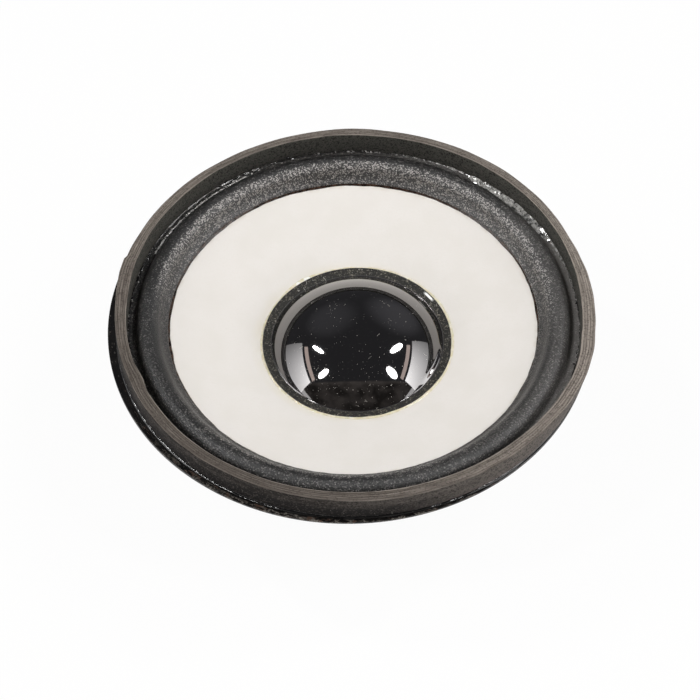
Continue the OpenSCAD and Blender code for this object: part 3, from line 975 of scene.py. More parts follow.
def divided(points: Sequence[Point], longest: float) -> list[Point]:
    """The same path with no step longer than a length.

    Args:
        points: The path.
        longest: The longest step allowed.

    Returns:
        The path's points and those between.
    """
    made: list[Point] = []
    for a, b in zip(points, points[1:]):
        parts = max(1, math.ceil(math.dist(a, b) / longest))
        step = (b[0] - a[0], b[1] - a[1])
        made += [(a[0] + step[0] * k / parts, a[1] + step[1] * k / parts) for k in range(parts)]
    return made + [tuple(points[-1])]


def sheet(path: Sequence[Point], thickness: float, edge: float) -> list[Point]:
    """Outline of a sheet that follows a path on its middle, with broken edges at both ends.

    Args:
        path: Middle of the sheet, from one end to the other.
        thickness: Thickness of the sheet.
        edge: Size of the break on its end edges.

    Returns:
        A closed outline.
    """
    count = len(path)
    points = [Vector(p) for p in path]
    ways = [(points[min(i + 1, count - 1)] - points[max(i - 1, 0)]).normalized() for i in range(count)]
    sides = [Vector((-w.y, w.x)) for w in ways]
    half = thickness / 2

    def end(i: int, sign: int) -> list[Point]:
        """The blunt end at point i, whose outward way is sign times the path's.

        Args:
            i: Number of the end point.
            sign: 1 at the last point, -1 at the first.

        Returns:
            Its four points.
        """
        out = ways[i] * sign
        at = points[i]
        rim = [
            at - out * edge + sides[i] * half,
            at + sides[i] * (half - edge),
            at - sides[i] * (half - edge),
            at - out * edge - sides[i] * half,
        ]
        return [tuple(p) for p in (rim if sign > 0 else rim[::-1])]

    upper = [tuple(points[i] + sides[i] * half) for i in range(1, count - 1)]
    lower = [tuple(points[i] - sides[i] * half) for i in range(count - 2, 0, -1)]
    return upper + end(count - 1, 1) + lower + end(0, -1)


def add_object(name: str, data: bpy.types.ID) -> bpy.types.Object:
    """A new object in the scene, made of a mesh, a curve, a lamp or a camera."""
    obj = bpy.data.objects.new(name, data)
    bpy.context.scene.collection.objects.link(obj)
    return obj


def to_object(name: str, bm: bmesh.types.BMesh, sharp: float = 40.0) -> bpy.types.Object:
    """Puts a finished bmesh on an object at the origin, with smooth faces and sharp corners.

    Args:
        name: The piece's name.
        bm: The mesh, which is freed.
        sharp: Angle over which an edge stays sharp, in degrees.

    Returns:
        The new object.
    """
    mesh = bpy.data.meshes.new(name)
    bm.to_mesh(mesh)
    bm.free()
    mesh.polygons.foreach_set("use_smooth", [True] * len(mesh.polygons))
    mesh.set_sharp_from_angle(angle=math.radians(sharp))
    return add_object(name, mesh)


def lathe(
    name: str,
    outline: Sequence[Point],
    steps: int = 192,
    closed: bool = True,
    places: Sequence[Matrix] = (Matrix.Identity(4),),
    shape: Optional[Shift] = None,
    sharp: float = 40.0,
) -> bpy.types.Object:
    """Spins a wedge of an outline, turns it into the full round, and sets one in each place.

    Args:
        name: The piece's name.
        outline: Radius and height of each point, in mm.
        steps: Steps in the full turn.
        closed: Whether the outline closes on itself, and isn't closed by the axis.
        places: Where each copy stands, in mm.
        shape: Moves each point of the spun mesh, in mm.
        sharp: Angle over which an edge stays sharp, in degrees.

    Returns:
        The new object.
    """
    wedge = max(w for w in range(1, math.isqrt(steps) + 1) if steps % w == 0)
    bm = bmesh.new()
    verts = [bm.verts.new((r, 0.0, z)) for r, z in outline]
    pairs = list(zip(verts, verts[1:])) + ([(verts[-1], verts[0])] if closed else [])
    edges = [bm.edges.new(p) for p in pairs]
    bmesh.ops.spin(
        bm, geom=verts + edges, cent=(0, 0, 0), axis=(0, 0, 1), dvec=(0, 0, 0), steps=wedge,
        angle=math.tau * wedge / steps, use_merge=False, use_normal_flip=False, use_duplicate=False,
    )
    slice_mesh = bpy.data.meshes.new(name + "_slice")
    bm.to_mesh(slice_mesh)
    bm.clear()
    for place in places:
        for i in range(steps // wedge):
            turned = slice_mesh.copy()
            turned.transform(place @ Matrix.Rotation(math.tau * wedge * i / steps, 4, "Z"))
            bm.from_mesh(turned)
            bpy.data.meshes.remove(turned)
    bpy.data.meshes.remove(slice_mesh)
    bmesh.ops.remove_doubles(bm, verts=bm.verts[:], dist=MERGE_MM)
    bmesh.ops.recalc_face_normals(bm, faces=bm.faces[:])
    if shape:
        rest = bm.verts.layers.float_vector.new(REST)
        for v in bm.verts:
            v[rest] = v.co * MM
            v.co = shape(v.co)
    bmesh.ops.scale(bm, vec=(MM, MM, MM), verts=bm.verts[:])
    return to_object(name, bm, sharp)


def sharp_edges(bm: bmesh.types.BMesh, degrees: float) -> list[bmesh.types.BMEdge]:
    """Edges between two faces that turn by more than an angle."""
    turn = math.radians(degrees)
    return [e for e in bm.edges if len(e.link_faces) == 2 and e.calc_face_angle(0.0) > turn]


def break_edges(bm: bmesh.types.BMesh, edges: list[bmesh.types.BMEdge], width_mm: float) -> None:
    """Rounds edges by a width.

    Args:
        bm: The mesh.
        edges: Its edges to round.
        width_mm: Width of the round.
    """
    bmesh.ops.bevel(
        bm, geom=edges, offset=width_mm * MM, offset_type="OFFSET", affect="EDGES",
        segments=2, profile=0.5, material=-1, clamp_overlap=True,
    )


def trimmed_copy(name: str, node: str, edge_mm: float) -> bpy.types.Object:
    """A clean copy of a CAD node with its sharp edges rounded.

    Args:
        name: The piece's name.
        node: The CAD node.
        edge_mm: Width of the rounding.

    Returns:
        The new object.
    """
    bm = bmesh.new()
    bm.from_mesh(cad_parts[node].data)
    bmesh.ops.remove_doubles(bm, verts=bm.verts[:], dist=2e-6)
    bmesh.ops.dissolve_limit(bm, angle_limit=math.radians(2), verts=bm.verts[:], edges=bm.edges[:])
    break_edges(bm, sharp_edges(bm, 40), edge_mm)
    return to_object(name, bm, 50.0)


def tubes(
    name: str, paths: Sequence[Sequence[Vector]], radius_mm: float, sides: int = 3
) -> bpy.types.Object:
    """Round strands along paths in mm, as one closed mesh.

    Args:
        name: The piece's name.
        paths: Points of each strand.
        radius_mm: Radius of a strand.
        sides: Blender's bevel resolution of a strand.

    Returns:
        The new object.
    """
    curve = bpy.data.curves.new(name + "_path", "CURVE")
    curve.dimensions = "3D"
    curve.bevel_depth = radius_mm * MM
    curve.bevel_resolution = sides
    curve.use_fill_caps = True
    for path in paths:
        spline = curve.splines.new("POLY")
        spline.points.add(len(path) - 1)
        for point, co in zip(spline.points, path):
            point.co = (*(co * MM), 1.0)
    holder = add_object(name + "_path", curve)
    bpy.context.view_layer.update()
    solid = holder.evaluated_get(bpy.context.evaluated_depsgraph_get())
    bm = bmesh.new()
    bm.from_mesh(solid.to_mesh())
    bpy.data.objects.remove(holder)
    bmesh.ops.remove_doubles(bm, verts=bm.verts[:], dist=1e-6)
    bmesh.ops.recalc_face_normals(bm, faces=bm.faces[:])
    return to_object(name, bm, 60.0)


def settle(
    obj: bpy.types.Object,
    finish: Finish,
    nodes: Sequence[str],
    body: Body = Body.CHASSIS,
    share: Optional[Callable[[Vector], float]] = None,
) -> bpy.types.Object:
    """Dresses a finished mesh and ties it to its body, unless it has a share.

    Args:
        obj: The piece.
        finish: What it is made of.
        nodes: The CAD nodes that it stands for.
        body: The body that carries it.
        share: For a piece that stretches, the part of the diaphragm's travel at a point in metres; it is
            worked out at each point but not used, and the piece is tied to no body.

    Returns:
        The same piece.
    """
    obj.data.materials.clear()
    obj.data.materials.append(finish.material())
    if finish.soft and REST not in obj.data.attributes:
        stored = obj.data.attributes.new(REST, "FLOAT_VECTOR", "POINT")
        stored.data.foreach_set("vector", [c for v in obj.data.vertices for c in v.co])
    if share:
        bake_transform(obj)
        weights = [share(v.co) for v in obj.data.vertices]
    else:
        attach(obj, body.value)
    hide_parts(*nodes)
    LOG.info("%s: %d faces, stands for %s", obj.name, len(obj.data.polygons), ", ".join(nodes))
    return obj


def ease(value: float, low: float, high: float) -> float:
    """A smooth step from 0 at low to 1 at high; low may be the larger."""
    t = max(0.0, min(1.0, (value - low) / (high - low)))
    return t * t * (3 - 2 * t)


def around(x: float, y: float) -> tuple[float, float]:
    """Radius and angle in degrees, from 0 to 360, of a point."""
    return math.hypot(x, y), math.degrees(math.atan2(y, x)) % 360


def on_ring(r: float, angle: float, z: float) -> Vector:
    """The point at a radius, an angle in degrees and a height."""
    a = math.radians(angle)
    return Vector((r * math.cos(a), r * math.sin(a), z))


def away_from(centre: float, angle: float) -> float:
    """How far an angle is from another one, in degrees, the shorter way round."""
    return abs((angle - centre + 180) % 360 - 180)


def around_table(table: Sequence[Point], angle: float) -> float:
    """Smooth value between the entries of a table that runs round the ring.

    Args:
        table: Angles in degrees, rising from 0, with their values.
        angle: Place on the ring, in degrees.

    Returns:
        The value there.
    """
    pairs = list(zip(table, [*table[1:], (table[0][0] + 360, table[0][1])]))
    for (low, first), (high, last) in pairs:
        if angle <= high:
            return first + (last - first) * ease(angle, low, high)
    return table[0][1]


def drift(angle: float, size_deg: float, seed: float) -> float:
    """Noise from -1 to 1 that closes on itself round the ring.

    Args:
        angle: Place on the ring, in degrees.
        size_deg: Length of its waves, in degrees.
        seed: Which noise.

    Returns:
        The noise there.
    """
    a = math.radians(angle)
    reach = RADIAN_DEG / size_deg
    return noise.noise(Vector((math.cos(a) * reach, math.sin(a) * reach, seed * SEED_STEP)))


@dataclass
class ConeShape:
    """Section of the paper cone, which the cap, the glues and the eyelets follow too."""

    neck_z: float = 27.5
    neck_r: float = 13.205
    edge_r: float = 49.5
    reach_r: float = extent("cone").radius
    depth: float = 13.8
    flare: float = 0.8
    thickness: float = 0.6
    collar_drop: float = 1.6

    def z(self, r: float) -> float:
        """Height of the cone's front face at a radius."""
        share = max(r - self.neck_r, 0) / (self.edge_r - self.neck_r)
        return self.neck_z + self.depth * share**self.flare


CONE = ConeShape()


@dataclass
class Chassis:
    """The pressed basket and the rivets through its motor seat."""

    flange_r: float = extent("basket").radius
    flange_z: float = extent("basket").high - 0.4
    throat_r: float = 57.6
    skirt_r: float = 56.5
    skirt_z: float = 37.9
    ledge_out: float = 33.05
    ledge_in: float = 27.55
    ledge_z: float = 24.0
    seat_z: float = 18.4
    seat_bore: float = 14.3
    sheet_t: float = 0.8
    bend: float = 1.6
    window_in: float = 35.65
    window_out: float = 53.9
    window_corner: float = 3.5
    arm_w: float = 16.0
    trim_shift: float = -1.0
    edge_break: float = 0.12
    rivet_ring: float = 21.0
    rivet_head: float = 2.5
    rivet_rise: float = 1.0

    def outline(self) -> list[Point]:
        """Section of the sheet, with its press bends.

        Returns:
            Radius and height of each point, in mm.
        """
        corners = [
            (self.flange_r, self.flange_z, 0.0),
            (self.throat_r, self.flange_z, self.bend),
            (self.skirt_r, self.skirt_z, self.bend),
            (self.ledge_out, self.ledge_z, self.bend),
            (self.ledge_in, self.ledge_z, self.bend),
            (self.ledge_in - self.sheet_t / 2, self.seat_z, self.bend),
            (self.seat_bore, self.seat_z, 0.0),
        ]
        return sheet(divided(rounded(corners, 6, closed=False), 3.0), self.sheet_t, 0.14)

    def window(self) -> list[Point]:
        """Outline of one window, between the arms at +X and +Y.

        Returns:
            X and Y of each point, in mm.
        """
        c = self.window_corner
        e = self.arm_w / 2 + c
        far_r, near_r = self.window_out - c, self.window_in + c
        ao, ai = math.degrees(math.asin(e / far_r)), math.degrees(math.asin(e / near_r))
        far, near = math.sqrt(far_r**2 - e**2), math.sqrt(near_r**2 - e**2)
        points = arc((0, 0), self.window_out, ao, 90 - ao, 16)
        points += arc((e, far), c, 90 - ao, 180, 8)[1:]
        points += arc((e, near), c, 180, 270 - ai, 8)
        points += arc((0, 0), self.window_in, 90 - ai, ai, 12)[1:]
        points += arc((near, e), c, 180 + ai, 270, 8)[1:]
        return points + arc((far, e), c, 270, 360 + ao, 8)[:-1]

    def cutter(self) -> bpy.types.Object:
        """Four upright prisms through the windows.

        Returns:
            The new object.
        """
        bm = bmesh.new()
        for quarter in range(4):
            turn = Matrix.Rotation(math.tau * quarter / 4, 4, "Z")
            low = self.ledge_z - self.sheet_t / 2
            verts = [bm.verts.new(turn @ Vector((x, y, low))) for x, y in self.window()]
            face = bm.faces.new(verts)
            top = bmesh.ops.extrude_face_region(bm, geom=[face])["geom"]
            rise = [v for v in top if isinstance(v, bmesh.types.BMVert)]
            bmesh.ops.translate(bm, vec=(0, 0, self.flange_z - self.sheet_t / 2 - low), verts=rise)
        bmesh.ops.recalc_face_normals(bm, faces=bm.faces[:])
        bmesh.ops.scale(bm, vec=(MM, MM, MM), verts=bm.verts[:])
        return to_object("window_cutter", bm)

    def off_centre(self, co: Vector) -> Vector:
        """The flange was trimmed a little off centre, so its rim shows more on the left.

        Args:
            co: A point of the round, in mm.

        Returns:
            Its new place, in mm.
        """
        r, angle = around(co.x, co.y)
        amount = ease(r, self.throat_r + 1.0, self.flange_r - 1.0)
        dent = 0.12 * drift(angle, 24.0, 3.0) * amount
        return Vector((co.x + self.trim_shift * amount, co.y, co.z + dent))

    def build(self) -> None:
        """Presses the basket, cuts its windows and sets its rivets."""
        basket = lathe("basket_pressing", self.outline(), steps=256, shape=self.off_centre)
        cutter = self.cutter()
        cut = basket.modifiers.new("windows", "BOOLEAN")
        cut.object, cut.operation, cut.solver = cutter, "DIFFERENCE", "EXACT"
        bpy.context.view_layer.update()
        bm = bmesh.new()
        bm.from_mesh(basket.evaluated_get(bpy.context.evaluated_depsgraph_get()).to_mesh())
        bpy.data.objects.remove(cutter)
        bpy.data.objects.remove(basket)
        bmesh.ops.remove_doubles(bm, verts=bm.verts[:], dist=0.01 * MM)
        low, high = (self.ledge_z + 0.7) * MM, (self.skirt_z + 0.4) * MM
        rims = [e for e in sharp_edges(bm, 50) if low < (e.verts[0].co.z + e.verts[1].co.z) / 2 < high]
        break_edges(bm, rims, self.edge_break)
        settle(to_object("basket_pressing", bm, 35.0), ENAMEL, ["basket"])
        stand = Matrix.Translation((self.rivet_ring, 0, self.seat_z + self.sheet_t / 2))
        spots = [Matrix.Rotation(math.radians(45 + 90 * i), 4, "Z") @ stand for i in range(4)]
        section = rivet_section(self.rivet_head, self.rivet_rise)
        heads = lathe("motor_rivet_heads", section, 32, False, spots)
        settle(heads, RIVET, ["motor_rivets"])


def rivet_section(radius: float, rise: float) -> list[Point]:
    """Section of a domed rivet head on a short shank, from the axis round to the axis.

    Args:
        radius: Radius of the head.
        rise: Its height.

    Returns:
        Radius and height of each point, in mm.
    """
    ball = (radius**2 + rise**2) / (2 * rise)
    slope = math.degrees(math.asin(radius * 0.96 / ball))
    dome = arc((0, rise - ball), ball, 90, 90 - slope, 6)
    shank = [(RIVET_SHANK, 0.0), (RIVET_SHANK, -RIVET_DEEP), (0, -RIVET_DEEP)]
    return [(0, rise)] + dome[1:] + [(radius, RIVET_EDGE), (radius, 0.0)] + shank


@dataclass
class Gasket:
    """The wound board ring and the black cement in the corner at its foot."""

    outer: float = extent("gasket").radius
    inner: float = 60.7
    low: float = extent("gasket").low
    high: float = extent("gasket").high
    foot: float = 0.8
    ply: float = 0.62
    ply_groove: float = 0.07
    sprung_from: float = 0.3
    pool_at: float = 41.0
    pool_span: Point = (17.0, 11.0)
    pool_wide: float = 2.5
    string_at: float = 137.5
    string_span: Point = (19.5, 17.5)
    string_place: Point = (-1.45, 0.16)
    string_r: float = 0.25
    string_sunk: float = 0.8
    line_r: float = 0.72
    line_swells: tuple[tuple[float, ...], ...] = ((216, 26, 12, 0.15), (304, 9, 4, 0.6))
    drops: tuple[tuple[float, ...], ...] = (
        (60, 118, 14, 0.4), (120, 155, 14, 0.4), (27, 54, 30, 0.9), (0, 359, 30, 0.4),
    )
    inner_sway: tuple[Point, ...] = (
        (0, 0.1), (6, 0.0), (40, 0.1), (60, 0.15), (150, 0.12), (165, -0.1), (176, -0.35), (186, -0.1),
        (196, -0.1), (203, -0.7), (208, -0.1), (225, 0.0), (290, 0.05), (300, 0.28), (310, 0.42),
        (320, 0.8), (330, 1.25), (336, 1.5), (342, 1.25), (350, 0.6), (356, 0.3),
    )
    outer_sway: tuple[Point, ...] = (
        (0, 0.55), (7.5, 0.15), (15, -0.35), (20, -0.65), (26, -0.5), (60, -0.45), (75, -0.5),
        (90, -0.25), (100, -0.5), (125, -0.5), (140, -0.35), (155, -0.25), (163.6, -0.05),
        (164.4, 0.45), (168, 0.35), (173, 0.0), (181, -0.3), (200, -0.3), (212, -0.1), (225, -0.05),
        (242, -0.35), (262, -0.35), (268, -0.05), (290, 0.0), (300, 0.25), (310, 0.55), (320, 0.85),
        (330, 1.4), (338, 1.7), (344, 1.55), (352, 1.0),
    )

    def wound(self, co: Vector) -> Vector:
        """The strip has sprung outwards on one side and its end stands proud.

        Args:
            co: A point of the round, in mm.

        Returns:
            Its new place, in mm.
        """
        r, angle = around(co.x, co.y)
        t = (r - self.inner) / (self.outer - self.inner)
        rise = (co.z - self.low) / (self.high - self.low)
        out = around_table(self.outer_sway, angle) + 0.1 * drift(angle, 6.0, 1.0)
        inn = around_table(self.inner_sway, angle) + 0.08 * drift(angle, 6.0, 4.0)
        r += (inn + (out - inn) * t) * (self.sprung_from + 0.7 * rise)
        up = 0.12 * drift(angle, 14.0, 6.0) + 0.05 * noise.noise(Vector((co.x, co.y, 3.0)) * 1.3)
        up *= ease(rise, 0.5, 1.0)
        layer = t * (self.outer - self.inner) / self.ply - angle / 360 + 0.25 * drift(angle, 12.0, 8.0)
        groove = abs((layer % 1) - 0.5)
        if rise > 0.985 and 0.05 < t < 0.95:
            up -= self.ply_groove * ease(groove, 0.34, 0.5)
        return on_ring(r, angle, co.z + up)

    def outline(self) -> list[Point]:
        """Section of the ring, fine enough on top to show its plies.

        Returns:
            Radius and height of each point, in mm.
        """
        corners = [
            (self.inner, self.low, 0.1), (self.inner, self.high, 0.16),
            (self.outer, self.high, 0.16), (self.outer, self.low, 0.1),
        ]
        ring = rounded(corners, 3)
        fine: list[Point] = []
        for a, b in zip(ring, ring[1:] + ring[:1]):
            flat_top = a[1] > self.high - 0.01 and b[1] > self.high - 0.01
            fine += divided([a, b], 0.13 if flat_top else 0.9)[:-1]
        return fine

    def inner_bead(self) -> bpy.types.Object:
        """Cement in the corner between the board and the foam, smeared over the foam in places.

        Returns:
            The new object.
        """
        corner = (self.inner + 0.12, self.low - 0.05)

        def lumpy(co: Vector) -> Vector:
            """Uneven width and height of the bead round the ring.

            Args:
                co: A point of the round, in mm.

            Returns:
                Its new place, in mm.
            """
            r, angle = around(co.x, co.y)
            size = 0.45 + 0.35 * drift(angle, 3.0, 12.0) + 0.2 * drift(angle, 1.1, 14.0)
            pool = ease(abs(angle - self.pool_at), *self.pool_span)
            smeared = self.pool_wide * pool * (1 + 0.35 * drift(angle, 3.5, 15.0))
            wide = max(0.25, size + smeared)
            tall = max(0.25, size + 0.3 * pool)
            rough = noise.noise(co * 1.7) * 0.6 + noise.noise(co * 3.9) * 0.4
            rough *= 0.28 * pool * (0.3 + 0.7 * ease(angle, 40, 48))
            up = (co.z - corner[1]) * tall + rough * ease(co.z, corner[1], corner[1] + 0.1)
            r = corner[0] + 0.3 * around_table(self.inner_sway, angle) - (corner[0] - r) * wide
            return on_ring(r, angle, corner[1] + up)

        steps = ((1.0, 0.0), (0.7, 0.25), (0.3, 0.6), (0.0, 1.0))
        slope = [(corner[0] - u, corner[1] + v) for u, v in steps]
        return lathe("inner_cement", [corner] + divided(slope, 0.09), 1500, True, shape=lumpy)

    def rim_bead(self) -> bpy.types.Object:
        """A string of cement beside the roll at the upper left, sunk into the foam all the way round.

        Returns:
            The new object.
        """
        middle = (self.inner + self.string_place[0], self.low + self.string_place[1])

        def strung(co: Vector) -> Vector:
            """Lumps of the string, and where it dips into the foam.

            Args:
                co: A point of the round, in mm.

            Returns:
                Its new place, in mm.
            """
            r, angle = around(co.x, co.y)
            shown = ease(abs(angle - self.string_at), *self.string_span)
            size = max(0.15, 1.0 + 1.2 * drift(angle, 0.8, 17.0) + 0.5 * drift(angle, 2.4, 18.0))
            away = 0.2 * drift(angle, 3.0, 19.0) - 0.05
            r = middle[0] + (r - middle[0]) * size + away * shown
            up = (co.z - middle[1]) * size - self.string_sunk * (1 - shown)
            return on_ring(r, angle, middle[1] + up)

        return lathe("rim_cement", arc(middle, self.string_r, 0, 315, 7), 1500, True, shape=strung)

    def outer_bead(self) -> bpy.types.Object:
        """A thin line of cement squeezed out between the flange and the foot of the board.

        Returns:
            The new object.
        """
        corner = (self.outer - 0.35, self.low - self.foot)

        def thin(co: Vector) -> Vector:
            """Where the line swells and where it has stayed inside.

            Args:
                co: A point of the round, in mm.

            Returns:
                Its new place, in mm.
            """
            r, angle = around(co.x, co.y)
            size = 0.42 + 0.4 * drift(angle, 9.0, 91.0) + 0.25 * drift(angle, 2.2, 92.0)
            swells = (more * ease(abs(angle - at), *span) for at, *span, more in self.line_swells)
            size += sum(swells)
            size = max(0.1, min(1.25, size))
            r = corner[0] + (r - corner[0]) * (0.45 + 0.55 * size)
            return on_ring(r, angle, corner[1] + (co.z - corner[1]) * size)

        section = [corner] + arc(corner, self.line_r, 0, 90, 6)
        return lathe("outer_cement", section, 720, True, shape=thin)

    def beads(self) -> bpy.types.Object:
        """Both lines of cement, with the drops that fell beside them.

        Returns:
            The new object.
        """
        bm = bmesh.new()
        draw = random.Random(11)
        for ring in (self.inner_bead(), self.rim_bead(), self.outer_bead()):
            bm.from_mesh(ring.data)
            bpy.data.objects.remove(ring)
        for low, high, count, spread in self.drops:
            for _ in range(count):
                angle = math.radians(draw.uniform(low, high))
                r = self.inner - abs(draw.gauss(0.0, spread)) - 0.1
                size = draw.uniform(0.18, 0.42)
                climb = draw.uniform(0, 1.1) if r > self.inner - 0.3 else 0.0
                place = Vector((r * math.cos(angle), r * math.sin(angle), self.low + climb)) * MM
                squat = Matrix.Translation(place) @ Matrix.Diagonal((1.0, 1.0, 0.4, 1.0))
                bmesh.ops.create_icosphere(bm, subdivisions=2, radius=size * MM, matrix=squat)
        return to_object("gasket_cement", bm, 80.0)

    def build(self) -> None:
        """Winds the board and lays the cement."""
        ring = lathe("board_gasket", self.outline(), steps=720, shape=self.wound, sharp=50.0)
        settle(ring, BOARD, ["gasket"])
        settle(self.beads(), RUBBER_CEMENT, ["gasket_glue"])


@dataclass
class Surround:
    """The moulded foam roll and the cement line at its inner lip."""

    rim: float = extent("surround").radius
    foot_out: float = 58.4
    foot_in: float = 51.6
    lip_in: float = 49.85
    land: float = 43.4
    base: float = 42.6
    crest: float = 3.5
    thickness: float = 0.8
    glue_gap: float = 0.25
    grain: float = 0.045
    roll_mid: float = 55.0
    roll_lean: float = 5.0

    def point(self, angle: float, inset: float) -> Point:
        """Point of the roll's section at an angle from its outer foot, inset into the foam.

        Args:
            angle: Angle from the outer foot, in degrees.
            inset: Depth under the skin, in mm.

        Returns:
            Radius and height, in mm.
        """
        mid, half = (self.foot_out + self.foot_in) / 2, (self.foot_out - self.foot_in) / 2
        a = math.radians(angle)
        lip = CONE.z(self.foot_in) + self.glue_gap + self.thickness
        base = self.land + (lip - self.land) * (1 - math.cos(a)) / 2
        height = (self.crest - inset) * math.sin(a) - inset * (1 - math.sin(a))
        return mid + (half - inset) * math.cos(a), base + height

    def outline(self) -> list[Point]:
        """Closed section of the foam.

        Returns:
            Radius and height of each point, in mm.
        """
        low = CONE.z(self.lip_in) + self.glue_gap
        first, last = self.point(26, 0.0), self.point(146, 0.0)
        upper = [(self.rim, self.land - 0.1), (self.rim - 0.1, self.land)]
        upper += bend((self.foot_out + 1.3, self.land), (self.foot_out - 0.05, self.land), first, 8)
        upper += [self.point(a, 0.0) for a in range(30, 146, 4)]
        lip = (self.lip_in + 0.35, low + self.thickness - 0.05)
        pull = self.foot_in - 0.35
        upper += bend(last, (pull, CONE.z(pull) + self.glue_gap + 0.95), lip, 8)
        upper += [(self.lip_in + 0.12, low + 0.62), (self.lip_in, low + 0.4), (self.lip_in + 0.1, low)]
        under = [(self.foot_in, CONE.z(self.foot_in) + self.glue_gap)]
        under += [self.point(a, self.thickness) for a in range(170, 5, -8)]
        under += [(self.foot_out - self.thickness, self.base), (self.rim, self.base)]
        return divided(upper, 0.36)[:-1] + divided([upper[-1]] + under + [upper[0]], 0.8)[:-1]

    def porous(self, co: Vector) -> Vector:
        """Cells and low waves of the foam's skin.

        Args:
            co: A point of the round, in mm.

        Returns:
            Its new place, in mm.
        """
        r, angle = around(co.x, co.y)
        swell = 0.12 * drift(angle, 16.0, 21.0) * ease(abs(r - self.roll_mid), 3.4, 0.0)
        inside = ease(r, self.lip_in + 0.2, self.lip_in + 0.8)
        pit = noise.noise(co * 2.1) * 0.6 + noise.noise(co * 4.3) * 0.4
        on_roll = ease(r, self.foot_out + 2.2, self.foot_out + 1.4)
        lift = self.grain * pit * on_roll * (0.35 + 0.65 * inside)
        x, y = (c / r * (r - self.roll_mid) / self.roll_lean for c in (co.x, co.y))
        way = Vector((x, y, 1.0)).normalized()
        ragged = 0.10 * drift(angle, 2.2, 33.0) * ease(r, self.lip_in + 0.9, self.lip_in)
        a = math.radians(angle)
        return co + way * lift + Vector((ragged * math.cos(a), ragged * math.sin(a), swell))

    def share(self, co: Vector) -> float:
        """Part of the travel that a point of the roll takes."""
        return ease(math.hypot(co.x, co.y) / MM, self.foot_out - 0.3, self.foot_in)

    def glue_line(self) -> bpy.types.Object:
        """Brown cement that shows as a thin line inside the lip.

        Returns:
            The new object.
        """
        inner, outer = CONE.edge_r, self.lip_in + 0.12

        def uneven(co: Vector) -> Vector:
            """Width of the line round the cone.

            Args:
                co: A point of the round, in mm.

            Returns:
                Its new place, in mm.
            """
            r, angle = around(co.x, co.y)
            wide = 0.22 * drift(angle, 7.0, 41.0) + 0.12 * drift(angle, 2.5, 43.0)
            wide += 0.14 * ease(away_from(195, angle), 75.0, 20.0)
            r -= wide * ease(r, outer, inner)
            return on_ring(r, angle, max(co.z, CONE.z(r) + 0.02))

        section = [
            (inner, CONE.z(inner) + 0.03),
            (outer, CONE.z(outer) + 0.03),
            (outer, CONE.z(outer) + 0.42),
            (inner + 0.16, CONE.z(inner) + 0.30),
        ]
        return lathe("lip_cement", section, 720, True, shape=uneven)

    def build(self) -> None:
        """Moulds the roll and lays its cement."""
        roll = lathe("foam_surround", self.outline(), steps=900, shape=self.porous, sharp=85.0)
        settle(roll, FOAM, ["surround"], share=self.share)
        settle(self.glue_line(), BROWN_CEMENT, ["surround_glue"], Body.DIAPHRAGM)


@dataclass
class PaperCone:
    """The paper cone with its collar, and the glue at its neck."""

    collar_t: float = 0.6
    glue_w: float = 1.0
    glue_h: float = 1.3

    def outline(self) -> list[Point]:
        """Closed section of the cone.

        Returns:
            Radius and height of each point, in mm.
        """
        first, last = CONE.neck_r, CONE.reach_r
        radii = [first + (last - first) * (i / 44) ** 1.4 for i in range(45)]
        front = [(r, CONE.z(r)) for r in radii]
        outside = first + self.collar_t
        back = [(r, CONE.z(r) - CONE.thickness) for r in reversed(radii) if r > outside + 0.1]
        low = CONE.neck_z - CONE.collar_drop
        return front + back + [(outside, CONE.neck_z - 0.5), (outside, low), (first, low)]

    def pressed(self, co: Vector) -> Vector:
        """Faint unevenness of the felted sheet.

        Args:
            co: A point of the round, in mm.

        Returns:
            Its new place, in mm.
        """
        r, angle = around(co.x, co.y)
        wave = 0.05 * drift(angle, 40.0, 51.0) + 0.02 * drift(angle, 11.0, 52.0)
        return Vector((co.x, co.y, co.z + wave * ease(r, 27.0, 40.0) * ease(r, 49.5, 46.0)))

    def build(self) -> None:
        """Presses the cone and lays the glue at its neck."""
        cone = lathe("paper_cone", self.outline(), steps=360, shape=self.pressed, sharp=50.0)
        settle(cone, PAPER, ["cone"], Body.DIAPHRAGM)
        r, z = CONE.neck_r, CONE.neck_z
        foot = r + self.glue_w
        fillet = [(r, z + 0.1), (foot, CONE.z(foot) + 0.1), (r + 0.4, z + 0.75), (r, z + self.glue_h)]
        neck = lathe("neck_cement", fillet, 120)
        settle(neck, BROWN_CEMENT, ["neck_glue"], Body.DIAPHRAGM)


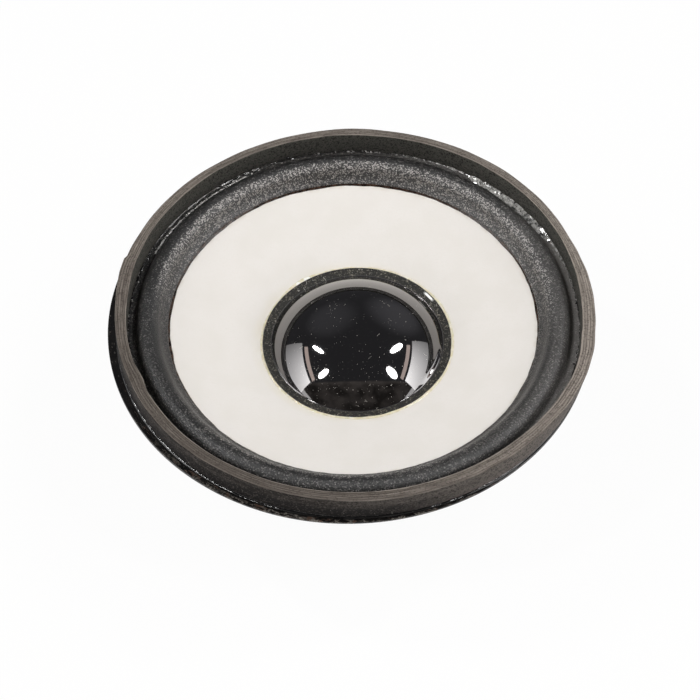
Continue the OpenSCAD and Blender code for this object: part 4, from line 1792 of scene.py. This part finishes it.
@dataclass
class DustCap:
    """The spun metal dust cap and the ring of clear cement round it."""

    rim: float = extent("dust_cap").radius
    dome: float = 23.25
    thickness: float = 0.5
    gap: float = 0.15
    crown: float = 40.0
    shoulder: float = 28.0
    slope: float = 48.0
    glue_w: float = 0.6
    glue_h: float = 0.42
    shift_mm: float = 1.0
    buckle_at: float = 338.0
    buckle: float = 0.55
    push_at: float = 345.0
    push: float = 0.25
    tilt_share: float = 0.3
    swell_at: float = 128.0
    swell: float = 0.5

    def outline(self) -> list[Point]:
        """Section from the top of the dome round its rim to the axis inside.

        Returns:
            Radius and height of each point, in mm.
        """
        foot = (self.dome, CONE.z(self.dome) + self.gap + self.thickness)
        s = math.radians(self.slope)
        inner = math.asin((self.dome - self.shoulder * math.sin(s)) / (self.crown - self.shoulder))
        side = (foot[0] - self.shoulder * math.sin(s), foot[1] - self.shoulder * math.cos(s))
        top = (0.0, side[1] - (self.crown - self.shoulder) * math.cos(inner))
        bend = math.degrees(inner)
        outer = arc(top, self.crown, 90, 90 - bend, 12)
        outer += arc(side, self.shoulder, 90 - bend, 90 - self.slope + 1.5, 34)[1:]
        edge = (self.rim, CONE.z(self.rim) + self.gap + self.thickness)
        under = (self.rim, CONE.z(self.rim) + self.gap)
        inside = (self.dome - 0.4, foot[1] - self.thickness, 0)
        corners = [(*outer[-1], 0), (*foot, 0.3), (*edge, 0.16), (*under, 0.12), inside]
        corner = rounded(corners, 5, closed=False)
        within = arc(side, self.shoulder - self.thickness, 90 - self.slope + 1.5, 90 - bend, 12)
        within += arc(top, self.crown - self.thickness, 90 - bend, 90, 5)[1:]
        return [(0.0, outer[0][1])] + outer[1:-1] + corner + within[:-1] + [(0.0, within[-1][1])]

    def spun(self, co: Vector) -> Vector:
        """The cap sits a little off centre on the cone, as it was glued by hand.

        Args:
            co: A point of the round, in mm.

        Returns:
            Its new place, in mm.
        """
        r, angle = around(co.x, co.y)
        tilt = CONE.z(math.hypot(co.x + self.shift_mm, co.y)) - CONE.z(r) if r > self.dome else 0.0
        wave = 0.08 * drift(angle, 30.0, 61.0) * ease(r, self.dome - 0.6, self.rim)
        turn = away_from(self.buckle_at, angle)
        lift = ease(r, self.dome - 1.0, self.dome - 0.1) * ease(r, self.rim + 0.6, self.dome + 0.8)
        wave += self.buckle * lift * ease(turn, 22.0, 5.0)
        out = self.push * ease(r, self.dome, self.rim) * ease(away_from(self.push_at, angle), 40, 10)
        spread = Vector((co.x, co.y, 0)).normalized() * out
        return Vector((co.x + self.shift_mm, co.y, co.z + self.tilt_share * tilt + wave)) + spread

    def glue_ring(self) -> bpy.types.Object:
        """Clear cement squeezed out round the rim, yellowed with age.

        Returns:
            The new object.
        """
        first, last = self.rim - 0.12, self.rim + self.glue_w

        def uneven(co: Vector) -> Vector:
            """Width and height of the ring round the cap.

            Args:
                co: A point of the round, in mm.

            Returns:
                Its new place, in mm.
            """
            r, angle = around(co.x, co.y)
            wide = 0.2 * drift(angle, 12.0, 71.0) + 0.12 * drift(angle, 4.0, 72.0)
            wide += self.swell * ease(abs(angle - self.swell_at), 16, 4)
            r += wide * ease(r, first + 0.1, last)
            a = math.radians(angle)
            x, y = r * math.cos(a) + self.shift_mm, r * math.sin(a)
            lift = co.z - CONE.z(math.hypot(co.x, co.y))
            return Vector((x, y, CONE.z(math.hypot(x, y)) + lift * (1 + 0.3 * drift(angle, 6.0, 73.0))))

        section = [
            (first, CONE.z(first) + 0.04),
            (last, CONE.z(last) + 0.02),
            (last - 0.15, CONE.z(last - 0.15) + 0.2),
            (first + 0.25, CONE.z(first + 0.25) + self.glue_h),
            (first, CONE.z(first) + self.glue_h),
        ]
        return lathe("cap_cement", section, 360, True, shape=uneven, sharp=70.0)

    def build(self) -> None:
        """Spins the cap and lays its cement."""
        section = self.outline()
        cap = lathe("spun_dust_cap", section, steps=360, closed=False, shape=self.spun, sharp=60.0)
        settle(cap, CAP_METAL, ["dust_cap"], Body.DIAPHRAGM)
        settle(self.glue_ring(), AMBER_CEMENT, ["cap_glue"], Body.DIAPHRAGM)


@dataclass
class VoiceCoil:
    """The former, its winding and the winding's two ends."""

    former_in: float = 12.65
    former_out: float = 12.85
    former_low: float = extent("coil_former").low
    former_high: float = extent("coil_former").high
    wind_low: float = extent("coil_winding").low
    wind_h: float = extent("coil_winding").high - extent("coil_winding").low
    wind_out: float = extent("coil_winding").radius
    wire: float = 0.25
    tail_up: tuple[Point, ...] = ((0.0, 24.0), (0.0, 28.6), (0.12, 29.0), (0.5, 29.1))
    tail_out: tuple[float, ...] = (14.5, 15.5, 16.5, 17.3, 18.1)

    def winding(self) -> list[Point]:
        """Section of the winding, with one bump for each turn of wire.

        Returns:
            Radius and height of each point, in mm.
        """
        turns = round(self.wind_h / self.wire)
        bumps: list[Point] = []
        for i in range(turns):
            mid = (self.wind_out - self.wire / 2, self.wind_low + self.wire * (i + 0.5))
            bumps += arc(mid, self.wire / 2, -75, 75, 4)
        top = (self.former_out, self.wind_low + self.wind_h)
        return [(self.former_out, self.wind_low)] + bumps + [top]

    def tail(self, angle: float) -> list[Vector]:
        """Path of one wire end, up the former and out over the cone.

        Args:
            angle: Where its eyelet is round the axis, in degrees.

        Returns:
            Its points, in mm.
        """
        r = self.former_out + self.wire / 2 + 0.03
        lift = self.wire / 2 + 0.1
        path = [(r, self.wind_low + self.wind_h)] + [(r + out, z) for out, z in self.tail_up]
        path += [(q, CONE.z(q) + lift + 0.3 * ease(q, 15.5, 14.2)) for q in self.tail_out]
        return [on_ring(q, angle, z) for q, z in path]

    def build(self) -> None:
        """Makes the former, the winding and the wire ends."""
        near, far, low, high = self.former_in, self.former_out, self.former_low, self.former_high
        tube = lathe("coil_tube", [(near, low), (far, low), (far, high), (near, high)], 128)
        settle(tube, KRAFT, ["coil_former"], Body.DIAPHRAGM)
        wound = lathe("wound_wire", self.winding(), 128, sharp=100.0)
        settle(wound, WIRE, ["coil_winding"], Body.DIAPHRAGM)
        tails = [self.tail(a) for a in Terminals.eyelet_angles()]
        ends = tubes("wire_ends", tails, self.wire / 2)
        settle(ends, WIRE, ["coil_tails"], Body.DIAPHRAGM)


@dataclass
class Spider:
    """The corrugated cloth that centres the coil."""

    inner: float = 13.205
    outer: float = extent("spider").radius
    collar: float = 25.6
    low: float = 24.4
    cloth: float = 0.5
    wave_in: float = 14.3
    wave_out: float = 26.55
    wave_h: float = 0.9
    waves: int = 5
    flat_from: float = 29.0

    def wave(self, t: float, side: float) -> Point:
        """Point on one face of the corrugations.

        Args:
            t: Share of the way across the waves.
            side: 1 for the front face, -1 for the rear.

        Returns:
            Radius and height, in mm.
        """
        mid = self.low + (1 + side) * self.cloth / 2
        rise = self.wave_h * math.sin(math.tau * self.waves * t)
        return self.wave_in + (self.wave_out - self.wave_in) * t, mid + rise

    def outline(self) -> list[Point]:
        """Closed section of the cloth.

        Returns:
            Radius and height of each point, in mm.
        """
        top = self.low + self.cloth
        steps = self.waves * 14
        neck = self.inner + self.cloth
        points = [(self.inner, self.low), (self.inner, self.collar), (neck, self.collar), (neck, top)]
        points += [self.wave(i / steps, 1) for i in range(steps + 1)]
        flat, outer = self.flat_from, self.outer
        points += [(flat, top), (outer, top), (outer, self.low), (flat, self.low)]
        return points + [self.wave(i / steps, -1) for i in range(steps, -1, -1)]

    def share(self, co: Vector) -> float:
        """Part of the travel that a point of the cloth takes."""
        return ease(math.hypot(co.x, co.y) / MM, self.wave_out, self.wave_in)

    def build(self) -> None:
        """Presses the cloth."""
        cloth = lathe("corrugated_spider", self.outline(), steps=240, sharp=70.0)
        settle(cloth, CLOTH, ["spider"], share=self.share)


@dataclass
class Motor:
    """The magnet between its two plates, and the pole."""

    plate_r: float = extent("top_plate").radius
    magnet_r: float = extent("magnet").radius
    magnet_in: float = 16.0
    top_in: float = 13.7
    spigot_r: float = 6.0
    pole_r: float = extent("pole_piece").radius
    back_t: float = extent("back_plate").high
    magnet_t: float = extent("magnet").high - extent("back_plate").high
    top_t: float = extent("top_plate").high - extent("magnet").high

    def chipped(self, co: Vector) -> Vector:
        """Small chips along the magnet's edges and a faintly uneven rim.

        Args:
            co: A point of the round, in mm.

        Returns:
            Its new place, in mm.
        """
        r, angle = around(co.x, co.y)
        mid = self.back_t + self.magnet_t / 2
        edge = ease(abs(co.z - mid), self.magnet_t / 2 - 1.0, self.magnet_t / 2 - 0.2)
        edge *= ease(r, self.magnet_r - 1.2, self.magnet_r - 0.3)
        chip = max(0.0, noise.noise(co * 0.45) - 0.25) * 1.5 + max(0.0, noise.noise(co * 1.1) - 0.35)
        r -= min(0.45, chip) * edge - 0.04 * drift(angle, 14.0, 81.0) * ease(r, 20.0, self.magnet_r)
        return on_ring(r, angle, co.z)

    def build(self) -> None:
        """Turns the steel pieces and presses the magnet."""
        b, m = self.back_t, self.back_t + self.magnet_t
        t = m + self.top_t
        s, p, g = self.spigot_r, self.plate_r, self.magnet_r
        back = rounded([(s, 0, 0.3), (p, 0, 0.5), (p, b, 0.3), (s, b, 0.1)])
        settle(lathe("rear_plate", back), PLATED, ["back_plate"])
        ring = rounded([(self.magnet_in, b, 0.5), (g, b, 0.6), (g, m, 0.6), (self.magnet_in, m, 0.5)])
        fine = divided(ring + ring[:1], 1.0)[:-1]
        settle(lathe("ferrite_ring", fine, 360, shape=self.chipped), FERRITE, ["magnet"])
        top = rounded([(self.top_in, m, 0.2), (p, m, 0.3), (p, t, 0.4), (self.top_in, t, 0.2)])
        settle(lathe("front_plate", top), PLATED, ["top_plate"])
        pole = [(0, 0.55, 0), (0.5, 0.2, 0.1), (s - 1.0, 0.2, 0.1)]
        pole += [(s - 0.7, 0.45, 0.1), (s - 0.4, 0.2, 0.1), (s, 0.2, 0.1), (s, b, 0.1)]
        pole += [(self.pole_r, b, 0.1), (self.pole_r, t, 0.6), (0, t, 0)]
        turned = lathe("centre_pole", rounded(pole, 3, closed=False), closed=False)
        settle(turned, POLE_STEEL, ["pole_piece"])


@dataclass
class Terminals:
    """The terminal board with its tags, and the leads that run to the cone."""

    arm_r: float = 44.775
    arm_z: float = 30.95
    arm_slope: float = 30.66
    sheet_t: float = 0.8
    board_t: float = 1.5
    tag_t: float = 0.6
    pitch: float = 22.0
    shank: float = 1.1
    bore: float = 0.55
    rim: float = 1.7
    rim_h: float = 0.4
    ring: float = 20.2
    play: float = 0.3
    lead_r: float = 0.5
    strands: int = 6
    bow: float = 4.0
    tag_sink: float = 0.25
    cone_sink: float = 0.15
    twists: float = 5.5
    twist_share: float = 0.62
    strand_share: float = 0.36
    gathered: float = 0.72
    head: float = 2.5
    head_rise: float = 1.0

    @classmethod
    def eyelet_angles(cls) -> tuple[float, float]:
        """Angles of the two eyelets in the cone, in degrees."""
        angle = math.degrees(math.atan2(-math.sqrt(cls.ring**2 - (cls.pitch / 2) ** 2), cls.pitch / 2))
        return angle, 180 - angle

    def on_arm(self) -> Matrix:
        """Frame on the arm at -Y: x across it, y outwards along it, z towards the cone.

        Returns:
            The frame, in mm.
        """
        return (
            Matrix.Translation((0, -self.arm_r, self.arm_z))
            @ Matrix.Rotation(math.pi, 4, "Z")
            @ Matrix.Rotation(math.radians(self.arm_slope), 4, "X")
        )

    def cone_slope(self) -> float:
        """Slope of the cone at its eyelets, in radians."""
        return math.atan(CONE.z(self.ring + 0.5) - CONE.z(self.ring - 0.5))

    def paper_grip(self) -> float:
        """Length that an eyelet in the cone clamps, in mm."""
        return CONE.thickness + self.play

    def in_cone(self) -> list[Matrix]:
        """Frames of the two eyelets in the cone.

        Returns:
            The frames, in mm.
        """
        grip = self.paper_grip()
        stand = Matrix.Translation((self.ring, 0, CONE.z(self.ring) - CONE.thickness / 2))
        tilt = Matrix.Rotation(-self.cone_slope(), 4, "Y") @ Matrix.Translation((0, 0, -grip / 2))
        return [Matrix.Rotation(math.radians(a), 4, "Z") @ stand @ tilt for a in self.eyelet_angles()]

    def eyelet(self, grip: float) -> list[Point]:
        """Section of an eyelet with its rims rolled over.

        Args:
            grip: Thickness that it holds.

        Returns:
            Radius and height of each point, in mm.
        """
        s, b, o, h = self.shank, self.bore, self.rim, self.rim_h
        return rounded(
            [
                (b, -h, 0.12), (o, -h, 0.18), (o, 0, 0.06), (s, 0, 0.0), (s, grip, 0.0),
                (o, grip, 0.06), (o, grip + h, 0.18), (b, grip + h, 0.12),
            ],
            3,
        )

    def lead_path(self, count: int = 48) -> list[Vector]:
        """Centre line of the right-hand lead, from its tag to its eyelet in the cone.

        Args:
            count: Number of steps.

        Returns:
            Its points, in mm.
        """
        slope = math.radians(self.arm_slope)
        lift = self.rim_h + self.lead_r / 2
        tag_way = Vector((0, math.sin(slope), math.cos(slope)))
        angle = math.radians(self.eyelet_angles()[0])
        tilt = self.cone_slope()
        cone_way = Vector((0, -math.sin(tilt) * math.sin(angle), math.cos(tilt)))
        first = Vector((0, -self.arm_r, self.arm_z))
        first += (lift - self.sheet_t / 2 - self.tag_sink) * tag_way
        grip = self.paper_grip()
        last = Vector((0, self.ring * math.sin(angle), CONE.z(self.ring) - CONE.thickness / 2))
        last -= (grip / 2 + lift - self.cone_sink) * cone_way
        out, home = first + self.bow * tag_way, last - self.bow * cone_way
        path = []
        for i in range(count + 1):
            t = i / count
            near = (1 - t) ** 3 * first + 3 * t * (1 - t) ** 2 * out
            path.append(near + 3 * t * t * (1 - t) * home + t**3 * last)
        return path

    def strand(self, path: Sequence[Vector], side: int, number: int) -> list[Vector]:
        """Path of one twisted strand of a lead.

        Args:
            path: Centre line of the lead.
            side: -1 for the left lead, 1 for the right.
            number: Which strand.

        Returns:
            Its points, in mm.
        """
        points = []
        twist_r = self.lead_r * self.twist_share
        for i, p in enumerate(path):
            way = (path[min(i + 1, len(path) - 1)] - path[max(i - 1, 0)]).normalized()
            across = Vector((1, 0, 0))
            up = way.cross(across)
            turn = math.tau * (number / self.strands + self.twists * i / (len(path) - 1))
            pull = self.gathered if i in (0, len(path) - 1) else 1.0
            at = p + (across * math.cos(turn) + up * math.sin(turn)) * twist_r * pull
            points.append(Vector((at.x + side * self.pitch / 2, at.y, at.z)))
        return points

    def share(self, co: Vector) -> float:
        """Part of the travel that a point of a lead takes."""
        path = self.lead_path(2)
        return ease(co.y / MM, path[0].y, path[-1].y)

    def build(self) -> None:
        """Makes the board, its rivet, the tags, all eyelets and the two leads."""
        board = trimmed_copy("phenolic_strip", "terminal_board", 0.15)
        settle(board, PHENOLIC, ["terminal_board"])
        rear = -self.sheet_t / 2 - self.board_t
        arm = self.on_arm()
        front_head = arm @ Matrix.Translation((0, 0, self.sheet_t / 2 + 0.05))
        rear_head = arm @ Matrix.Translation((0, 0, rear)) @ Matrix.Rotation(math.pi, 4, "X")
        section = rivet_section(self.head, self.head_rise)
        heads = lathe("board_rivet_heads", section, 32, False, (front_head, rear_head))
        settle(heads, RIVET, ["board_rivet"])
        for side, node in ((-1, "left_tag"), (1, "right_tag")):
            settle(trimmed_copy("solder_" + node, node, 0.12), TINNED, [node])
        deep = rear - self.tag_t
        in_board = [arm @ Matrix.Translation((s * self.pitch / 2, 0, deep)) for s in (-1, 1)]
        grip = self.board_t + self.tag_t
        on_board = lathe("board_eyelets", self.eyelet(grip), 32, places=in_board)
        settle(on_board, TINNED, ["tag_eyelets"])
        section = self.eyelet(self.paper_grip())
        in_paper = lathe("paper_eyelets", section, 32, places=self.in_cone())
        settle(in_paper, TINNED, ["cone_eyelets"], Body.DIAPHRAGM)
        path = self.lead_path()
        for side, node in ((-1, "left_lead"), (1, "right_lead")):
            strands = [self.strand(path, side, n) for n in range(self.strands)]
            core = [Vector((p.x + side * self.pitch / 2, p.y, p.z)) for p in path]
            lead = tubes("braided_" + node, strands + [core], self.lead_r * self.strand_share, 2)
            settle(lead, BRAID, [node], share=self.share)


@dataclass
class Studio:
    """The floor, the light and the camera of the photograph."""

    lens: float = 125.36
    sensor_mm: float = 36.0
    clip: Point = (0.01, 20.0)
    distance: float = 650.0
    elevation: float = 52.32
    roll: float = 0.96
    aim: tuple[float, float, float] = (0.0, 0.0, 50.0)
    shift: Point = (-1.0, -12.37)
    wall_far: float = 0.9
    wall_glow: float = 2.0
    wall_right: float = 1.15
    wall_place: Point = (0.075, 0.50)
    wall_size: Point = (0.95, 0.7)
    wall_fall: float = 0.65
    wall_rise: Point = (0.45, 1.35)
    strip_place: Point = (0.015, 0.99)
    strip_size: Point = (0.87, 0.13)
    strip_glow: float = 1.75
    strip_colour: str = "#f6e2d8"
    low_far: float = 1.15
    low_place: Corner = (0.78, -0.62, 0.31)
    low_size: Point = (0.75, 0.36)
    low_glow: float = 1.5
    bulb_high: float = 1.6
    bulb_power: float = 2.95
    bulbs: tuple[tuple[float, ...], ...] = (
        (-0.66, 0.26, 0.44, 0.12, 46.0),
        (-0.66, -0.28, 0.44, 0.19, -62.0),
        (0.66, 0.26, 0.50, 0.20, -46.0),
        (0.66, -0.285, 0.52, 0.25, 52.0),
    )
    fill: float = 0.14
    dark: float = 0.07
    patches: tuple[tuple[float, ...], ...] = (
        (-0.312, 0.682, 0.661, 22, 0.07),
        (0.439, 0.735, 0.517, 24, 0.12),
    )
    paper_share: float = 0.95
    table_edge: Point = (-0.47, -0.51)
    table_lip: Point = (-0.60, -0.52)
    lip_glow: float = 0.07
    things_glow: Point = (0.045, 0.15)
    things_tint: Corner = (1.0, 0.9, 0.84)
    night_blue: float = 1.08

    def camera(self) -> None:
        """Sets the camera where the photograph was taken from."""
        e, roll = math.radians(self.elevation), math.radians(self.roll)
        ahead = Vector((0, math.cos(e), -math.sin(e)))
        right, up = Vector((1, 0, 0)), Vector((0, math.sin(e), math.cos(e)))
        place = Vector(self.aim) - ahead * self.distance + right * self.shift[0] + up * self.shift[1]
        side = right * math.cos(roll) - up * math.sin(roll)
        top = right * math.sin(roll) + up * math.cos(roll)
        data = bpy.data.cameras.new("photo_camera")
        data.lens, data.sensor_width = self.lens, self.sensor_mm
        data.clip_start, data.clip_end = self.clip
        cam = add_object("photo_camera", data)
        turn = Matrix((side, top, -ahead)).transposed()
        cam.matrix_world = Matrix.Translation(place * MM) @ turn.to_4x4()
        bpy.context.scene.camera = cam

    def panel(
        self,
        name: str,
        centre: Vector,
        way: Vector,
        size: Point,
        glow: float,
        turn: float = 0.0,
        fall: float = 0.0,
        colour: str = "#ffffff",
    ) -> None:
        """Hangs a lamp.

        Args:
            name: The lamp's name.
            centre: Its centre, in metres.
            way: Where it shines to.
            size: Its length along Y and its height, in metres.
            glow: Its brightness, where 1 is a white card in full light.
            turn: For an oval lamp, how far it is turned round its own axis, in degrees.
            fall: For a wall, how much darker its far end is than its near end.
            colour: Its colour.
        """
        light = bpy.data.lights.new(name, "AREA")
        light.color = linear(colour)[:3]
        light.shape = "RECTANGLE" if fall or not turn else "ELLIPSE"
        light.size, light.size_y = size
        area = size[0] * size[1] * (1.0 if light.shape == "RECTANGLE" else math.pi / 4)
        light.energy = glow * math.pi * area
        lamp = add_object(name, light)
        back = -way.normalized()
        flat = Vector((0, 1, 0)) - back * back.y
        along = Matrix.Rotation(math.radians(turn), 3, back) @ flat.normalized()
        frame_of = Matrix((along, back.cross(along), back)).transposed().to_4x4()
        lamp.matrix_world = Matrix.Translation(centre) @ frame_of
        lamp.visible_camera = False
        if fall:
            light.use_nodes = True
            tree = light.node_tree
            place = add_node(tree, "NewGeometry", out="Position")
            y, z = (add_node(tree, "SeparateXYZ", {0: place}, out=i) for i in (1, 2))
            far, high = size[0] / 2, size[1] / 2
            along = ramp(tree, y, (centre.y - far, centre.y + far), (1.0 + fall, 1.0 - fall))
            up = ramp(tree, z, (centre.z - high, centre.z + high), self.wall_rise)
            strength = add_node(tree, "Math", {0: along, 1: up}, operation="MULTIPLY")
            tree.links.new(strength, tree.nodes["Emission"].inputs["Strength"])

    def lights(self) -> None:
        """Hangs a light tent's two walls, a strip and a low lamp at each, and four bulbs."""
        far, high = self.wall_far, self.bulb_high
        for name, side in (("left", -1), ("right", 1)):
            way = Vector((-side, 0, 0))
            glow = self.wall_glow * (self.wall_right if side > 0 else 1.0)
            wall, strip = (Vector((side, *place)) * far for place in (self.wall_place, self.strip_place))
            wide, narrow = ((size[0] * far, size[1] * far) for size in (self.wall_size, self.strip_size))
            self.panel(name + "_wall", wall, way, wide, glow, fall=self.wall_fall)
            self.panel(name + "_strip", strip, way, narrow, self.strip_glow, colour=self.strip_colour)
            low = Vector((side * self.low_place[0], *self.low_place[1:])) * self.low_far
            self.panel(name + "_low", low, Vector((0, 0, 0.05)) - low, self.low_size, self.low_glow)
        for i, (out, along, length, width, turn) in enumerate(self.bulbs):
            place = Vector((out, along, 1.0)) * high
            down = Vector((0, 0, 0.04)) - place
            glow = self.bulb_power / length / width
            self.panel(f"bulb_{i + 1}", place, down, (length, width), glow, turn=turn)

    def glow_at(self, tree: bpy.types.NodeTree, way: Socket, patch: Sequence[float]) -> Socket:
        """Brightness of a soft round patch of the dark room.

        Args:
            tree: The world's node tree.
            way: The direction that is looked at.
            patch: Its middle's x, y and z, its radius in degrees and its brightness in the middle.

        Returns:
            Its brightness in the direction.
        """
        middle = Vector(patch[:3]).normalized()
        near = add_node(tree, "VectorMath", {0: way, 1: middle}, out="Value", operation="DOT_PRODUCT")
        rim = math.cos(math.radians(patch[3]))
        keys = {"Value": near, "From Min": rim, "From Max": 1.0, "To Max": patch[4]}
        return add_node(tree, "MapRange", keys, interpolation_type="SMOOTHSTEP")

    def room(self, tree: bpy.types.NodeTree) -> Socket:
        """Colour of the dark room in the reflections, with the table's edge and what lies before it.

        Args:
            tree: The world's node tree.

        Returns:
            The colour.
        """
        way = add_node(tree, "TexCoord", out="Generated")
        y, z = (add_node(tree, "SeparateXYZ", {0: way}, out=i) for i in (1, 2))
        glow = self.dark
        for patch in self.patches:
            glow = add_node(tree, "Math", {0: glow, 1: self.glow_at(tree, way, patch)}, operation="ADD")
        blue = add_node(tree, "Math", {0: glow, 1: self.night_blue}, operation="MULTIPLY")
        grey = add_node(tree, "CombineColor", {0: glow, 1: glow, 2: blue})
        lean = add_node(tree, "Math", {0: y, 1: z}, operation="DIVIDE")
        front = ramp(tree, lean, self.table_edge)
        edge = ramp(tree, lean, self.table_lip, (0.0, self.lip_glow))
        things = add_node(tree, "TexNoise", {"Vector": way, "Scale": 5.0, "Detail": 3.0})
        lit = ramp(tree, things, (0.4, 0.68), self.things_glow)
        lit = add_node(tree, "Math", {0: lit, 1: edge}, operation="ADD")
        warm = add_node(tree, "VectorMath", {0: self.things_tint, 3: lit}, operation="SCALE")
        return add_node(tree, "Mix", {0: front, 6: grey, 7: warm}, out=2, data_type="RGBA")

    def world(self) -> None:
        """A dark room in the reflections, an even fill for the light, and white to the camera."""
        world = bpy.data.worlds.new("studio")
        bpy.context.scene.world = world
        world.use_nodes = True
        tree = world.node_tree
        tree.nodes.clear()
        mirrored = add_node(tree, "Background", {"Color": self.room(tree), "Strength": 1.0})
        fill = add_node(tree, "Background", {"Color": linear("#fbfaf8"), "Strength": self.fill})
        white = add_node(tree, "Background", {"Color": (1, 1, 1, 1), "Strength": 1.0})
        path = add_node(tree, "LightPath", out="Is Glossy Ray")
        seen = add_node(tree, "LightPath", out="Is Camera Ray")
        mixed = add_node(tree, "MixShader", {0: path, 1: fill, 2: mirrored})
        shown = add_node(tree, "MixShader", {0: seen, 1: mixed, 2: white})
        add_node(tree, "OutputWorld", {"Surface": shown}, out=None)

    def floor(self) -> None:
        """Lays the white paper that the driver stands on, whose shadow stays."""
        bm = bmesh.new()
        bmesh.ops.create_grid(bm, x_segments=8, y_segments=8, size=6.0)
        floor = to_object("paper_floor", bm)
        material = bpy.data.materials.new("white_background_paper")
        material.use_nodes = True
        tree = material.node_tree
        tree.nodes.clear()
        lit = add_node(tree, "BsdfDiffuse", {"Color": linear("#f2f1ef")})
        glow = add_node(tree, "Emission", {"Color": (1, 1, 1, 1), "Strength": 1.0})
        seen, mirrored = (add_node(tree, "LightPath", out=o) for o in ("Is Camera Ray", "Is Glossy Ray"))
        either = add_node(tree, "Math", {0: seen, 1: mirrored}, operation="MAXIMUM")
        share = add_node(tree, "Math", {0: either, 1: self.paper_share}, operation="MULTIPLY")
        mixed = add_node(tree, "MixShader", {0: share, 1: lit, 2: glow})
        add_node(tree, "OutputMaterial", {"Surface": mixed}, out=None)
        floor.data.materials.append(material)

    def build(self) -> None:
        """Sets up the camera, the floor and the light."""
        bpy.context.scene.view_settings.view_transform = "Standard"
        self.camera()
        self.floor()
        self.world()
        self.lights()


def main() -> None:
    """Builds the driver round the frame, piece by piece."""
    logging.basicConfig(level=logging.INFO, format="%(name)s: %(message)s")
    parts = (Studio, Chassis, Motor, Spider, VoiceCoil, Terminals, PaperCone, Surround, DustCap, Gasket)
    for part in parts:
        LOG.info("building %s", part.__name__)
        part().build()


if __name__ == "__main__":
    main()
